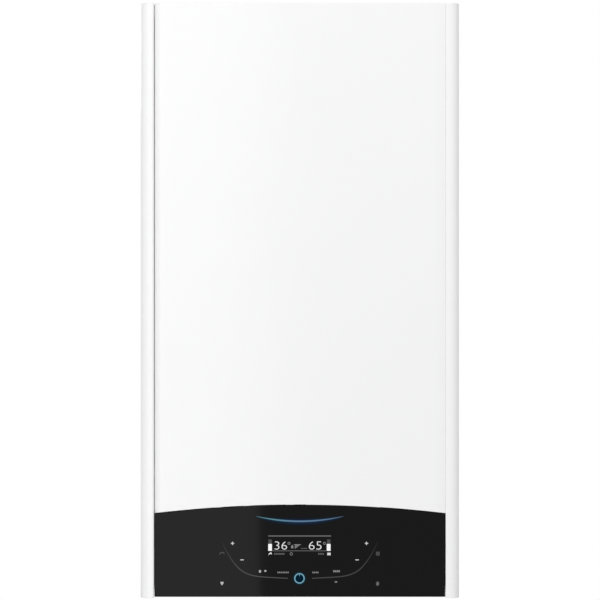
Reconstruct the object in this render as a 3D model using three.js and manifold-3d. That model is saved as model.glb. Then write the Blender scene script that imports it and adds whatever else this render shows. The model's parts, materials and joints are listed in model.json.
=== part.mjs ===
// Wall-hung condensing combi boiler: carcass, pull-off front cover, tilting control box and all inner groups.
// Millimetres, +Z up. The front faces -Y and the wall side faces +Y. The origin is on the wall face of the
// back frame, midway between the two hanging slots.
import * as THREE from 'three';
import { mergeVertices } from 'three/addons/utils/BufferGeometryUtils.js';
import Module from 'manifold-3d';

// Driving dimensions

const seatGap = 0.3; // air left between two pieces that seat on each other
const runGap = 0.05; // radial air between a shaft and its hole

// Casing
const casingWidth = 400;
const casingHeight = 745;
const casingDepth = 319;
const sheet = 1; // thickness of the white casing steel
const frameSheet = 1.5; // thickness of the zinc-coated carcass steel
const coverDepth = 60; // from the front face back to the joint with the side panels
const topRecess = 12; // the top plate lies this far below the upper edge
const topFold = 26; // downward fold along the top plate's front edge
const flangeWidth = 15; // folded edges of the side panels
const frameFlange = 20; // folded edges of the back frame
const mouldingWidth = 17.4; // side moulding, seen from the front
const mouldingWall = 2.5;
const mouldingDrop = 16; // how far back the moulding's rounded corner reaches
const mouldingLip = 24; // inner wall of the moulding, front to back
const jointLine = 0.6; // open line between panel, fascia and mouldings
const panelReturn = 20; // folded sides of the front panel
const hangingSlotPitch = 240;
const hangingSlotWidth = 40;
const hangingSlotHeight = 14;
const hangingSlotDrop = 65; // slots' centre line below the upper edge
const windowWidth = 300; // opening in the back frame for pipes from the wall
const windowHeight = 150;
const windowBottom = 90;
const bracketHeight = 38; // underside of the bottom bracket
const hingeReach = 36; // hinge bracket, from its fold back at the bottom bracket to the trunnion
const bracketFold = 26;

// Cover fixings
const pegRadius = 4;
const pegLength = 16;
const pegPitch = 240;
const pegClearance = 0.3;
const screwRadius = 2.5;
const screwHeadRadius = 4.6;
const screwSetback = 12; // screw axis in front of the cover's rear edge
const lugThickness = 3;
const lugHeight = 5; // underside of the moulding's screw lug

// Control box
const fasciaRise = 10.9; // the fascia's curved edge stands this much higher in the middle
const fasciaHeight = 106; // height of the fascia's top corners
const fasciaSetback = 1.5; // behind the front panel's face
const fasciaWall = 2.4;
const fasciaRim = 12;
const fasciaFoot = 1.5; // its lower edge above the casing's lower edge
const trayDepth = 69;
const trayWall = 2.5;
const trayMargin = 8; // tray's sides inside the fascia's sides
const trayTop = 98;
const trunnionRadius = 4;
const trunnionLength = 4.5;
const trunnionHeight = 11;
const trunnionSetback = 5; // in front of the tray's rear wall
const hingePlate = 2.5;
const boardWidth = 290;
const boardSheet = 1.6;
const boardStandoff = 39; // from the tray's rear wall
const boardMargin = 6; // between the board's edges and the tray's walls
const relayMargin = 12;
const relayPitch = 19;
const relayWidth = 16;
const transformerWidth = 38;
const capacitorRadius = 9;
const displayWidth = 88;
const displayHeight = 34;
const displayDepth = 8;
const displayCentre = 65;
const serviceWidth = 130; // wiring cover in the tray's rear wall
const serviceHeight = 52;
const serviceFoot = displayCentre - 40;

// Flue, 60/100 coaxial
const flueFromWall = 150;
const flueRadius = 30;
const ductRadius = 50; // outer duct of the coaxial flue
const flueWall = 2;
const collarFlange = 70;
const socketDepth = 43;
const plugRadius = 4;

// Heat exchanger and burner
const exchangerDrop = 213; // exchanger axis below the top plate
const exchangerHalf = 105;
const exchangerWall = 2;
const exchangerFront = 232; // front of the shell, from the wall
const exchangerRear = 112;
const coilRadius = 74;
const coilRadial = 24;
const coilAxial = 11;
const coilPitch = 15;
const coilReach = 20; // coil ends stand out of the shell
const doorSheet = 12;
const doorMargin = 4;
const hubRadius = 38;
const hubLength = 41;
const burnerRadius = 35;
const burnerLength = 88;
const sightAngle = 40;
const electrodeAngle = -60;
const portCircle = 53; // sight glass and electrode, from the exchanger's axis

// Fan, mixer and gas
const fanSide = 95; // fan axis left of the centre
const fanDrop = 190; // fan axis below the exchanger's axis
const voluteStart = 50;
const voluteEnd = 74;
const voluteWidth = 45;
const voluteWall = 2.5;
const voluteSetback = 15; // volute's rear face behind the exchanger's front
const fanOutletRise = 75;
const impellerRadius = 43;
const impellerWidth = 26;
const impellerBlades = 9;
const eyeRadius = 22;
const fanShaftRadius = 3;
const fanMotorRadius = 31;
const fanMotorLength = 36;
const ductTubeRadius = 18;
const mixerRadius = 31;
const mixerLength = 52;
const throatRadius = 14;
const silencerRadius = 22;
const silencerWall = 2.5;
const silencerSide = 150;
const silencerTop = 40; // open end above the exchanger's axis
const gasPipeRadius = 8;
const gasValveSide = 40;
const gasValveWidth = 70;
const gasValveHeight = 100;

// Expansion vessel
const vesselRadius = 175;
const vesselDepth = 96;
const vesselRim = 7;
const vesselDrop = 20; // vessel axis below the exchanger's axis

// Connections on the underside
const connectionPitch = 65;
const connectionFromWall = 122;
const heatingTailRadius = 13.2; // G 3/4
const waterTailRadius = 10.5; // G 1/2
const tailWall = 2.8;
const tailFoot = 4; // lower end of the tails

// Hydraulic groups
const barrelRadius = 22;
const manifoldTop = 120;
const waterPipeRadius = 9;
const platesWidth = 196;
const platesHeight = 75;
const platesDepth = 56;
const platesCount = 6;
const pumpSide = 128;
const pumpRise = 68; // pump axis above the manifold
const pumpRadius = 48;
const pumpWidth = 44;
const pumpMotorRadius = 43;
const pumpMotorLength = 86;
const pumpShaftRadius = 5;
const diverterTravel = 8;
const spindleRadius = 3;
const valveRadius = 8;
const knobRadius = 15;
const turbineRadius = 6.2;
const trapRadius = 24;
const trapSide = 40;
const trapFromWall = 190;
const hoseRadius = 9;

// Worked out from the driving dimensions

const halfWidth = casingWidth / 2;
const coverRear = -(casingDepth - coverDepth);
const frontFace = -casingDepth;
const frameHalf = halfWidth - sheet - seatGap;
const topPlateZ = casingHeight - topRecess;
const panelHalf = halfWidth - mouldingWidth - jointLine;
const edgeRadius = (panelHalf ** 2 + fasciaRise ** 2) / (2 * fasciaRise);
const edgeCentre = fasciaHeight + fasciaRise - edgeRadius;
const hangingZ = casingHeight - hangingSlotDrop;
const bracketTop = bracketHeight + frameSheet;
const pegZ = topPlateZ - topFold / 2;
const exchangerZ = topPlateZ - exchangerDrop;
const shellFront = -exchangerFront;
const shellRear = -exchangerRear;
const fanZ = exchangerZ - fanDrop;
const fanRear = shellFront + voluteSetback;
const fanFront = fanRear - voluteWidth;
const ductY = shellFront - doorSheet - ductTubeRadius - 6;
const vesselZ = exchangerZ - vesselDrop;
const hotTailX = -connectionPitch * 2;
const dhwTailX = -connectionPitch;
const coldTailX = connectionPitch;
const returnTailX = connectionPitch * 2;
const hydraulicY = -connectionFromWall;
const barrelZ = (bracketTop + manifoldTop) / 2;
const pumpZ = manifoldTop + pumpRise;
const trunnionY = -(casingDepth - fasciaSetback - fasciaWall - seatGap - trayDepth + trunnionSetback);
const bracketDepth = -(trunnionY + hingeReach);

// Materials

function finish(color, roughness, metalness) {
  return new THREE.MeshStandardMaterial({ color, roughness, metalness });
}

const whitePaint = finish('#f7f8f9', 0.25, 0);
const whitePlastic = finish('#f4f5f7', 0.3, 0);
const zincSteel = finish('#b9bdc0', 0.45, 0.9);
const stainless = finish('#c3c5c6', 0.35, 1);
const castAluminium = finish('#a9abad', 0.55, 0.9);
const brass = finish('#b58f4c', 0.4, 1);
const copper = finish('#b8704a', 0.35, 1);
const castIron = finish('#3a3d40', 0.6, 0.6);
const blackGloss = finish('#0a0a0c', 0.08, 0);
const blackPlastic = finish('#1c1d1f', 0.5, 0);
const greyPlastic = finish('#8c9094', 0.5, 0);
const blackRubber = finish('#202123', 0.8, 0);
const redPaint = finish('#a52a22', 0.45, 0);
const redPlastic = finish('#c5302a', 0.4, 0);
const bluePlastic = finish('#2b5ea8', 0.4, 0);
const circuitGreen = finish('#1f5b3a', 0.5, 0);
const clearGlass = finish('#cfd8da', 0.05, 0);
const whiteCeramic = finish('#efece4', 0.4, 0);

// Shape helpers

const wasm = await Module();
wasm.setup();

function signedVolume(geometry) {
  const corners = geometry.index ? geometry.toNonIndexed() : geometry;
  const position = corners.getAttribute('position');
  const a = new THREE.Vector3();
  const b = new THREE.Vector3();
  const c = new THREE.Vector3();
  let volume = 0;
  for (let i = 0; i < position.count; i += 3) {
    a.fromBufferAttribute(position, i);
    b.fromBufferAttribute(position, i + 1);
    c.fromBufferAttribute(position, i + 2);
    volume += a.dot(b.cross(c)) / 6;
  }
  return volume;
}

// The same closed surface with merged corners, no sliver of zero area and its faces turned outwards.
function tidied(geometry) {
  const bare = new THREE.BufferGeometry();
  const corners = geometry.index ? geometry.toNonIndexed() : geometry;
  bare.setAttribute('position', corners.getAttribute('position'));
  const merged = mergeVertices(bare, 1e-3);
  const outward = signedVolume(merged) > 0;
  const kept = [];
  for (let i = 0; i < merged.index.count; i += 3) {
    const a = merged.index.getX(i);
    const b = merged.index.getX(i + 1);
    const c = merged.index.getX(i + 2);
    if (a !== b && b !== c && c !== a) kept.push(a, outward ? b : c, outward ? c : b);
  }
  merged.setIndex(kept);
  return merged;
}

function toSolid(geometry) {
  const merged = tidied(geometry);
  const vertProperties = merged.getAttribute('position').array;
  const triVerts = new Uint32Array(merged.index.array);
  return new wasm.Manifold(new wasm.Mesh({ numProp: 3, vertProperties, triVerts }));
}

function toGeometry(solid) {
  const mesh = solid.getMesh();
  const geometry = new THREE.BufferGeometry();
  geometry.setAttribute('position', new THREE.Float32BufferAttribute(mesh.vertProperties, 3));
  geometry.setIndex(Array.from(mesh.triVerts));
  return geometry;
}

function joined(...geometries) {
  return toGeometry(geometries.map(toSolid).reduce((whole, next) => whole.add(next)));
}

function cut(geometry, ...tools) {
  return toGeometry(tools.map(toSolid).reduce((rest, tool) => rest.subtract(tool), toSolid(geometry)));
}

function mirrored(geometry) {
  return tidied(geometry.clone().scale(-1, 1, 1));
}

// A block between two corners.
function block(x0, x1, y0, y1, z0, z1) {
  const box = new THREE.BoxGeometry(Math.abs(x1 - x0), Math.abs(y1 - y0), Math.abs(z1 - z0));
  return box.translate((x0 + x1) / 2, (y0 + y1) / 2, (z0 + z1) / 2);
}

// Round bars along each axis, from one end to the other, at a place across the axis.
function barX(radius, x0, x1, y, z, sides = 12) {
  const bar = new THREE.CylinderGeometry(radius, radius, Math.abs(x1 - x0), sides);
  return bar.rotateZ(Math.PI / 2).translate((x0 + x1) / 2, y, z);
}

function barY(radius, y0, y1, x, z, sides = 12) {
  const bar = new THREE.CylinderGeometry(radius, radius, Math.abs(y1 - y0), sides);
  return bar.translate(x, (y0 + y1) / 2, z);
}

function barZ(radius, z0, z1, x, y, sides = 12) {
  const bar = new THREE.CylinderGeometry(radius, radius, Math.abs(z1 - z0), sides);
  return bar.rotateX(Math.PI / 2).translate(x, y, (z0 + z1) / 2);
}

// A hole's facets stand round the shaft's circle instead of cutting into it.
function holeRadius(shaftRadius, air, sides) {
  return (shaftRadius + air) / Math.cos(Math.PI / sides);
}

// Turned shapes: [radius, distance] pairs revolved about Y or Z. Both closed rings and shapes that start and end
// on the axis are given from the front, or from below.
function turnedY(profile, x, z, sides = 18) {
  const points = profile.map(([radius, y]) => new THREE.Vector2(radius, y));
  return tidied(new THREE.LatheGeometry(points, sides)).translate(x, 0, z);
}

function turnedZ(profile, x, y, sides = 18) {
  const points = profile.map(([radius, z]) => new THREE.Vector2(radius, z));
  return tidied(new THREE.LatheGeometry(points, sides).rotateX(Math.PI / 2)).translate(x, y, 0);
}

function outline(points) {
  return new THREE.Shape(points.map(([a, b]) => new THREE.Vector2(a, b)));
}

// Each arc of an outline takes two facets per curve segment.
function extruded(shape, depth, curveSegments = 2) {
  return new THREE.ExtrudeGeometry(shape, { depth, curveSegments, bevelEnabled: false });
}

// An outline drawn in X and Z, given thickness along Y.
function plateXZ(shape, yFront, yRear, curveSegments) {
  return extruded(shape, yRear - yFront, curveSegments).rotateX(Math.PI / 2).translate(0, yRear, 0);
}

// An outline drawn in X and Y, given height along Z.
function plateXY(shape, z0, z1, curveSegments) {
  return extruded(shape, z1 - z0, curveSegments).translate(0, 0, z0);
}

// An outline drawn in Y and Z, given width along X.
function plateYZ(shape, x0, x1, curveSegments) {
  const turn = new THREE.Matrix4().makeBasis(
    new THREE.Vector3(0, 1, 0),
    new THREE.Vector3(0, 0, 1),
    new THREE.Vector3(1, 0, 0),
  );
  return extruded(shape, x1 - x0, curveSegments).applyMatrix4(turn).translate(x0, 0, 0);
}

function roundedRectangle(x0, x1, z0, z1, radius) {
  const shape = new THREE.Shape();
  shape.moveTo(x0 + radius, z0);
  shape.lineTo(x1 - radius, z0);
  shape.absarc(x1 - radius, z0 + radius, radius, -Math.PI / 2, 0, false);
  shape.lineTo(x1, z1 - radius);
  shape.absarc(x1 - radius, z1 - radius, radius, 0, Math.PI / 2, false);
  shape.lineTo(x0 + radius, z1);
  shape.absarc(x0 + radius, z1 - radius, radius, Math.PI / 2, Math.PI, false);
  shape.lineTo(x0, z0 + radius);
  shape.absarc(x0 + radius, z0 + radius, radius, Math.PI, Math.PI * 1.5, false);
  return shape;
}

function circle(radius) {
  return new THREE.Shape().absarc(0, 0, radius, 0, Math.PI * 2, false);
}

// The centre line of a bent tube: straight between its corners, with an arc of one radius at each corner.
class BentLine extends THREE.Curve {
  constructor(corners, bendRadius, stepsPerBend) {
    super();
    const points = corners.map((corner) => new THREE.Vector3(...corner));
    this.stations = [];
    const last = points.length - 1;
    const heading = (i) => points[i + 1].clone().sub(points[i]).normalize();
    this.stations.push({ point: points[0], tangent: heading(0) });
    for (let i = 1; i < last; i += 1) {
      const before = heading(i - 1);
      const after = heading(i);
      const turn = before.angleTo(after);
      const axis = before.clone().cross(after).normalize();
      const reach = bendRadius * Math.tan(turn / 2);
      const start = points[i].clone().addScaledVector(before, -reach);
      const inward = axis.clone().cross(before);
      const centre = start.clone().addScaledVector(inward, bendRadius);
      for (let step = 0; step <= stepsPerBend; step += 1) {
        const angle = (turn * step) / stepsPerBend;
        const point = start.clone().sub(centre).applyAxisAngle(axis, angle).add(centre);
        this.stations.push({ point, tangent: before.clone().applyAxisAngle(axis, angle) });
      }
    }
    this.stations.push({ point: points[last], tangent: heading(last - 1) });
  }

  get steps() {
    return this.stations.length - 1;
  }

  getPoint(t) {
    return this.stations[Math.round(t * this.steps)].point.clone();
  }

  getPointAt(t) {
    return this.getPoint(t);
  }

  getTangentAt(t) {
    return this.stations[Math.round(t * this.steps)].tangent.clone();
  }
}

function bentTube(section, corners, bendRadius, sides = 8, stepsPerBend = 2) {
  const line = new BentLine(corners, bendRadius, stepsPerBend);
  const options = { steps: line.steps, curveSegments: sides / 2, extrudePath: line, bevelEnabled: false };
  return tidied(new THREE.ExtrudeGeometry(section, options));
}

// A pipe with a hexagon nut at each end.
function fittedPipe(radius, corners, bendRadius, sides = 8) {
  const pipe = bentTube(circle(radius), corners, bendRadius, sides);
  const nutAt = (end, next) => {
    const from = new THREE.Vector3(...end);
    const along = new THREE.Vector3(...next).sub(from).normalize();
    const nutLength = radius * 1.4;
    const nut = new THREE.CylinderGeometry(radius * 1.6, radius * 1.6, nutLength, 6);
    const upright = new THREE.Vector3(0, 1, 0);
    nut.applyQuaternion(new THREE.Quaternion().setFromUnitVectors(upright, along));
    const middle = from.addScaledVector(along, nutLength / 2);
    return nut.translate(middle.x, middle.y, middle.z);
  };
  const last = corners.length - 1;
  return joined(pipe, nutAt(corners[0], corners[1]), nutAt(corners[last], corners[last - 1]));
}

// The scene graph

const boiler = new THREE.Group();
boiler.position.set(0, 0, -hangingZ);

function addPiece(group, name, geometry, material) {
  const flat = geometry.index ? geometry.toNonIndexed() : geometry;
  flat.computeVertexNormals();
  const mesh = new THREE.Mesh(flat, material);
  mesh.name = name;
  group.add(mesh);
  return mesh;
}

function newGroup() {
  const group = new THREE.Group();
  boiler.add(group);
  return group;
}

// Carcass

function backFrame() {
  const bottom = sheet + seatGap;
  const top = topPlateZ - seatGap;
  const plate = block(-frameHalf, frameHalf, -frameSheet, 0, bottom, top);
  const leftFlange = block(-frameHalf, -frameHalf + frameSheet, -frameFlange, 0, bottom, top);
  const rightFlange = block(frameHalf - frameSheet, frameHalf, -frameFlange, 0, bottom, top);
  const window = plateXZ(
    roundedRectangle(-windowWidth / 2, windowWidth / 2, windowBottom, windowBottom + windowHeight, 12),
    -frameSheet * 2,
    frameSheet,
    3,
  );
  const slots = [-1, 1].map((side) => {
    const middle = (side * hangingSlotPitch) / 2;
    const slot = roundedRectangle(
      middle - hangingSlotWidth / 2,
      middle + hangingSlotWidth / 2,
      hangingZ - hangingSlotHeight / 2,
      hangingZ + hangingSlotHeight / 2,
      3,
    );
    return plateXZ(slot, -frameSheet * 2, frameSheet, 2);
  });
  // Pressed swages stiffen the lower corners beside the window.
  const swageDepth = 4;
  const swageHalf = 6;
  const swages = [-1, 1].map((side) => {
    const x = side * (windowWidth / 2 + (frameHalf - windowWidth / 2) / 2);
    const section = outline([
      [x - swageHalf, -frameSheet / 2],
      [x + swageHalf, -frameSheet / 2],
      [x + swageHalf / 2, -frameSheet - swageDepth],
      [x - swageHalf / 2, -frameSheet - swageDepth],
    ]);
    return plateXY(section, windowBottom, windowBottom + windowHeight);
  });
  return cut(joined(plate, leftFlange, rightFlange, ...swages), window, ...slots);
}

function rightSidePanel() {
  const rear = -seatGap;
  const front = coverRear + seatGap;
  const skin = block(halfWidth - sheet, halfWidth, front, rear, 0, casingHeight);
  const foldTop = topPlateZ - seatGap;
  const foldInner = halfWidth - flangeWidth;
  const foldOuter = halfWidth - sheet / 2;
  const frontFold = block(foldInner, foldOuter, front, front + sheet, 0, foldTop);
  const bottomFold = block(foldInner, foldOuter, front, rear, 0, sheet);
  // The slotted tab that the cover's captive screw clamps on.
  const screwX = halfWidth - mouldingWidth / 2 - 1;
  const tabBottom = lugHeight + lugThickness + 3;
  const tabHalf = 5.6;
  const tabFront = coverRear - screwSetback - 7;
  const tab = block(screwX - tabHalf, screwX + tabHalf, tabFront, front + sheet, tabBottom, tabBottom + frameSheet);
  const notchHalf = screwRadius + 0.5;
  const notchEnd = coverRear - screwSetback + notchHalf;
  const notch = block(screwX - notchHalf, screwX + notchHalf, tabFront - 1, notchEnd, tabBottom - 1, tabBottom + 5);
  return cut(joined(skin, frontFold, bottomFold, tab), notch);
}

function topPlate() {
  const half = frameHalf;
  const front = coverRear + seatGap;
  const plate = block(-half, half, front, -frameSheet - seatGap, topPlateZ, topPlateZ + sheet);
  const foldHalf = half - flangeWidth;
  const foldTop = topPlateZ + sheet / 2;
  const frontFold = block(-foldHalf, foldHalf, front, front + sheet, topPlateZ - topFold, foldTop);
  const collarHole = barZ(ductRadius + flueWall + 1, topPlateZ - 5, topPlateZ + 5, 0, -flueFromWall, 20);
  const plugHoles = [-1, 1].map((side) => {
    const x = side * (ductRadius + collarFlange) / 2;
    return barZ(plugRadius + seatGap * 2, topPlateZ - 5, topPlateZ + 5, x, -flueFromWall, 8);
  });
  return cut(joined(plate, frontFold), collarHole, ...plugHoles);
}

function coverPeg(side) {
  const x = (side * pegPitch) / 2;
  const seat = coverRear + seatGap;
  const chamfer = 3;
  return turnedY(
    [
      [0, seat - pegLength],
      [pegRadius - chamfer / 2, seat - pegLength],
      [pegRadius, seat - pegLength + chamfer],
      [pegRadius, seat],
      [0, seat],
    ],
    x,
    pegZ,
    12,
  );
}

function bottomBracket() {
  const front = -bracketDepth;
  const half = frameHalf - frameSheet - seatGap;
  const plate = block(-half, half, front, -frameSheet - seatGap, bracketHeight, bracketTop);
  const frontFold = block(-half, half, front - frameSheet, front, bracketTop - bracketFold, bracketTop);
  const heatingHoles = [hotTailX, returnTailX, 0].map((x) => {
    return barZ(heatingTailRadius + 2.5, bracketHeight - 2, bracketTop + 2, x, hydraulicY, 12);
  });
  const waterHoles = [dhwTailX, coldTailX].map((x) => {
    return barZ(waterTailRadius + 2.5, bracketHeight - 2, bracketTop + 2, x, hydraulicY, 12);
  });
  const fillingHole = barZ(7, bracketHeight - 2, bracketTop + 2, (coldTailX + returnTailX) / 2, hydraulicY, 12);
  const trapHole = barZ(hoseRadius + 3, bracketHeight - 2, bracketTop + 2, -trapSide, -trapFromWall, 12);
  return cut(joined(plate, frontFold), ...heatingHoles, ...waterHoles, fillingHole, trapHole);
}

// A Z-shaped sheet from the back frame over the vessel to the rear of the exchanger.
function exchangerHanger() {
  const half = hangingSlotPitch / 2 - hangingSlotWidth / 2 - 8;
  const front = shellRear + seatGap;
  const rear = -frameSheet - seatGap;
  const shelf = vesselZ + vesselRadius + 5;
  const shelfTop = shelf + frameSheet;
  const section = outline([
    [rear, shelf],
    [front, shelf],
    [front, shelf - 70],
    [front + frameSheet, shelf - 70],
    [front + frameSheet, shelf - frameSheet],
    [rear - frameSheet, shelf - frameSheet],
    [rear - frameSheet, shelf - 0.4],
    [rear, shelf - 0.4],
  ]);
  const rearFold = block(-half, half, rear - frameSheet, rear, shelf - frameSheet, shelf + 24);
  const bend = plateYZ(section, -half, half);
  const gussets = [-1, 1].map((side) => {
    const triangle = outline([
      [rear - 0.5, shelfTop - frameSheet],
      [rear - 0.5, shelf + 24],
      [rear - 34, shelfTop - frameSheet],
    ]);
    const x = side * (half - 2);
    return plateYZ(triangle, x - frameSheet / 2, x + frameSheet / 2);
  });
  return joined(bend, rearFold, ...gussets);
}

function rightHingeBracket() {
  const inner = panelHalf - trayMargin + 1;
  const outer = inner + hingePlate;
  const foldFront = -bracketDepth - frameSheet - seatGap;
  const shape = new THREE.Shape();
  const ear = 9;
  shape.moveTo(foldFront, trunnionHeight - 7);
  shape.lineTo(foldFront, trunnionHeight + 20);
  shape.lineTo(trunnionY, trunnionHeight + ear);
  shape.absarc(trunnionY, trunnionHeight, ear, Math.PI / 2, Math.PI * 1.25, false);
  const plate = plateYZ(shape, inner, outer, 8);
  const footTop = trunnionHeight + 20;
  const foot = block(inner, frameHalf - 4, foldFront - hingePlate, foldFront, trunnionHeight - 4, footTop);
  const sides = 16;
  const radius = holeRadius(trunnionRadius, runGap, sides);
  const bore = barX(radius, inner - 1, outer + 1, trunnionY, trunnionHeight, sides);
  return cut(joined(plate, foot), bore);
}

// Front cover

// The panel or fascia outline: straight sides and the shared curved edge, moved inwards by an inset.
function panelOutline(inset) {
  const half = panelHalf - inset;
  const radius = edgeRadius + jointLine + inset;
  const start = Math.acos(half / radius);
  const shape = new THREE.Shape();
  shape.moveTo(-half, casingHeight - inset);
  shape.lineTo(-half, edgeCentre + radius * Math.sin(start));
  shape.absarc(0, edgeCentre, radius, Math.PI - start, start, true);
  shape.lineTo(half, casingHeight - inset);
  return shape;
}

function fasciaOutline(inset) {
  const half = panelHalf - inset;
  const radius = edgeRadius - inset;
  const start = Math.acos(half / radius);
  const shape = new THREE.Shape();
  shape.moveTo(-half, fasciaFoot + inset);
  shape.lineTo(half, fasciaFoot + inset);
  shape.lineTo(half, edgeCentre + radius * Math.sin(start));
  shape.absarc(0, edgeCentre, radius, start, Math.PI - start, false);
  return shape;
}

function frontPanel() {
  const arcSteps = 10;
  const tray = plateXZ(panelOutline(0), frontFace, frontFace + panelReturn, arcSteps);
  const pocket = plateXZ(panelOutline(sheet), frontFace + sheet, frontFace + panelReturn + 1, arcSteps);
  const lid = block(-panelHalf, panelHalf, frontFace + sheet, coverRear, casingHeight - sheet, casingHeight);
  const foldHalf = panelHalf - 2;
  const foldBottom = topPlateZ - topFold;
  const foldTop = casingHeight - sheet / 2;
  const rearFold = block(-foldHalf, foldHalf, coverRear - sheet, coverRear, foldBottom, foldTop);
  const curveTop = fasciaHeight + fasciaRise + jointLine + sheet;
  const curveFoot = fasciaHeight - 1;
  const relief = block(-foldHalf, foldHalf, frontFace + sheet, coverRear - 2, curveFoot, curveTop + 1);
  const sides = 12;
  const radius = holeRadius(pegRadius, pegClearance, sides);
  const holes = [-1, 1].map((side) => {
    return barY(radius, coverRear - sheet - 2, coverRear + 2, (side * pegPitch) / 2, pegZ, sides);
  });
  return cut(joined(cut(tray, pocket, relief), lid, rearFold), ...holes);
}

// The right side moulding's section: rounded outer corner, flat side and an inner lip, open to the rear.
function mouldingSection() {
  const inner = halfWidth - mouldingWidth;
  const flat = 3;
  const centreX = inner + flat;
  const centreY = frontFace + mouldingDrop;
  const radiusX = halfWidth - centreX;
  const shape = new THREE.Shape();
  shape.moveTo(inner, frontFace);
  shape.lineTo(centreX, frontFace);
  shape.absellipse(centreX, centreY, radiusX, mouldingDrop, -Math.PI / 2, 0, false);
  shape.lineTo(halfWidth, coverRear);
  shape.lineTo(halfWidth - mouldingWall, coverRear);
  shape.lineTo(halfWidth - mouldingWall, centreY);
  shape.absellipse(centreX, centreY, radiusX - mouldingWall, mouldingDrop - mouldingWall, 0, -Math.PI / 2, true);
  shape.lineTo(inner + mouldingWall, frontFace + mouldingWall);
  shape.lineTo(inner + mouldingWall, frontFace + mouldingLip);
  shape.lineTo(inner, frontFace + mouldingLip);
  return shape;
}

function mouldingCap() {
  const inner = halfWidth - mouldingWidth;
  const centreX = inner + 3;
  const shape = new THREE.Shape();
  shape.moveTo(inner, coverRear);
  shape.lineTo(inner, frontFace + 0.4);
  shape.lineTo(centreX, frontFace + 0.4);
  const centreY = frontFace + mouldingDrop;
  shape.absellipse(centreX, centreY, halfWidth - centreX, mouldingDrop - 0.4, -Math.PI / 2, 0, false);
  shape.lineTo(halfWidth, coverRear);
  return shape;
}

function rightMoulding() {
  const screwX = halfWidth - mouldingWidth / 2 - 1;
  const rail = plateXY(mouldingSection(), 0, casingHeight, 5);
  const cap = plateXY(mouldingCap(), casingHeight - mouldingWall, casingHeight, 5);
  const lugFront = coverRear - screwSetback * 2;
  const lug = block(
    halfWidth - mouldingWidth,
    halfWidth - mouldingWall / 2,
    lugFront,
    coverRear,
    lugHeight,
    lugHeight + lugThickness,
  );
  const screwY = coverRear - screwSetback;
  const screwHole = barZ(screwRadius + 0.4, lugHeight - 1, lugHeight + lugThickness + 1, screwX, screwY, 16);
  return cut(joined(rail, cap, lug), screwHole);
}

// Captive screw: head under the lug, shank through the slotted tab and the nut above it.
function coverScrew(side) {
  const x = side * (halfWidth - mouldingWidth / 2 - 1);
  const y = coverRear - screwSetback;
  const tabTop = lugHeight + lugThickness + 3 + frameSheet;
  const head = barZ(screwHeadRadius, lugHeight - seatGap - 3, lugHeight - seatGap, x, y, 12);
  const shank = barZ(screwRadius, lugHeight - 1, tabTop + 5, x, y, 8);
  const nut = barZ(screwHeadRadius, tabTop + seatGap, tabTop + 4, x, y, 6);
  const slotHalf = 0.6;
  const driver = block(x - 4, x + 4, y - slotHalf, y + slotHalf, lugHeight - seatGap - 4, lugHeight - seatGap - 2);
  return cut(joined(head, shank, nut), driver);
}

// Control box

const fasciaFront = frontFace + fasciaSetback;
const trayFront = fasciaFront + fasciaWall + seatGap;
const trayRear = trayFront + trayDepth;
const trayHalf = panelHalf - trayMargin;
const trayBottom = fasciaFoot + fasciaWall + seatGap;

function controlFascia() {
  const plate = plateXZ(fasciaOutline(0), fasciaFront, fasciaFront + fasciaRim, 10);
  const pocket = plateXZ(fasciaOutline(fasciaWall), fasciaFront + fasciaWall, fasciaFront + fasciaRim + 1, 10);
  return cut(plate, pocket);
}

function controlTray() {
  const cornerRadius = 5;
  const outside = roundedRectangle(-trayHalf, trayHalf, trayBottom, trayTop, cornerRadius);
  const body = plateXZ(outside, trayFront, trayRear, 2);
  const hollow = plateXZ(
    roundedRectangle(
      -trayHalf + trayWall,
      trayHalf - trayWall,
      trayBottom + trayWall,
      trayTop - trayWall,
      cornerRadius - trayWall,
    ),
    trayFront - 1,
    trayRear - trayWall,
    2,
  );
  const serviceHole = plateXZ(
    roundedRectangle(-serviceWidth / 2, serviceWidth / 2, serviceFoot, serviceFoot + serviceHeight, 4),
    trayRear - trayWall - 1,
    trayRear + 1,
    2,
  );
  const bosses = [-1, 1].flatMap((side) => [trayBottom + 14, trayTop - 14].map((z) => {
    return barY(4, trayRear - boardStandoff + seatGap, trayRear - trayWall / 2, side * (boardWidth / 2 - 10), z, 6);
  }));
  const trunnions = [-1, 1].map((side) => {
    const inside = side * (trayHalf - trayWall / 2);
    return barX(trunnionRadius, inside, side * (trayHalf + trunnionLength), trunnionY, trunnionHeight, 16);
  });
  return joined(cut(body, hollow, serviceHole), ...bosses, ...trunnions);
}

function wiringCover() {
  const lip = 5;
  const reach = serviceWidth / 2 + lip;
  const lid = plateXZ(
    roundedRectangle(-reach, reach, serviceFoot - lip, serviceFoot + serviceHeight + lip, 6),
    trayRear + seatGap,
    trayRear + seatGap + 2,
    2,
  );
  const plug = plateXZ(
    roundedRectangle(lip + 1 - reach, reach - lip - 1, serviceFoot + 1, serviceFoot + serviceHeight - 1, 3),
    trayRear - trayWall,
    trayRear + seatGap + 1,
    2,
  );
  return joined(lid, plug);
}

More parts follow.
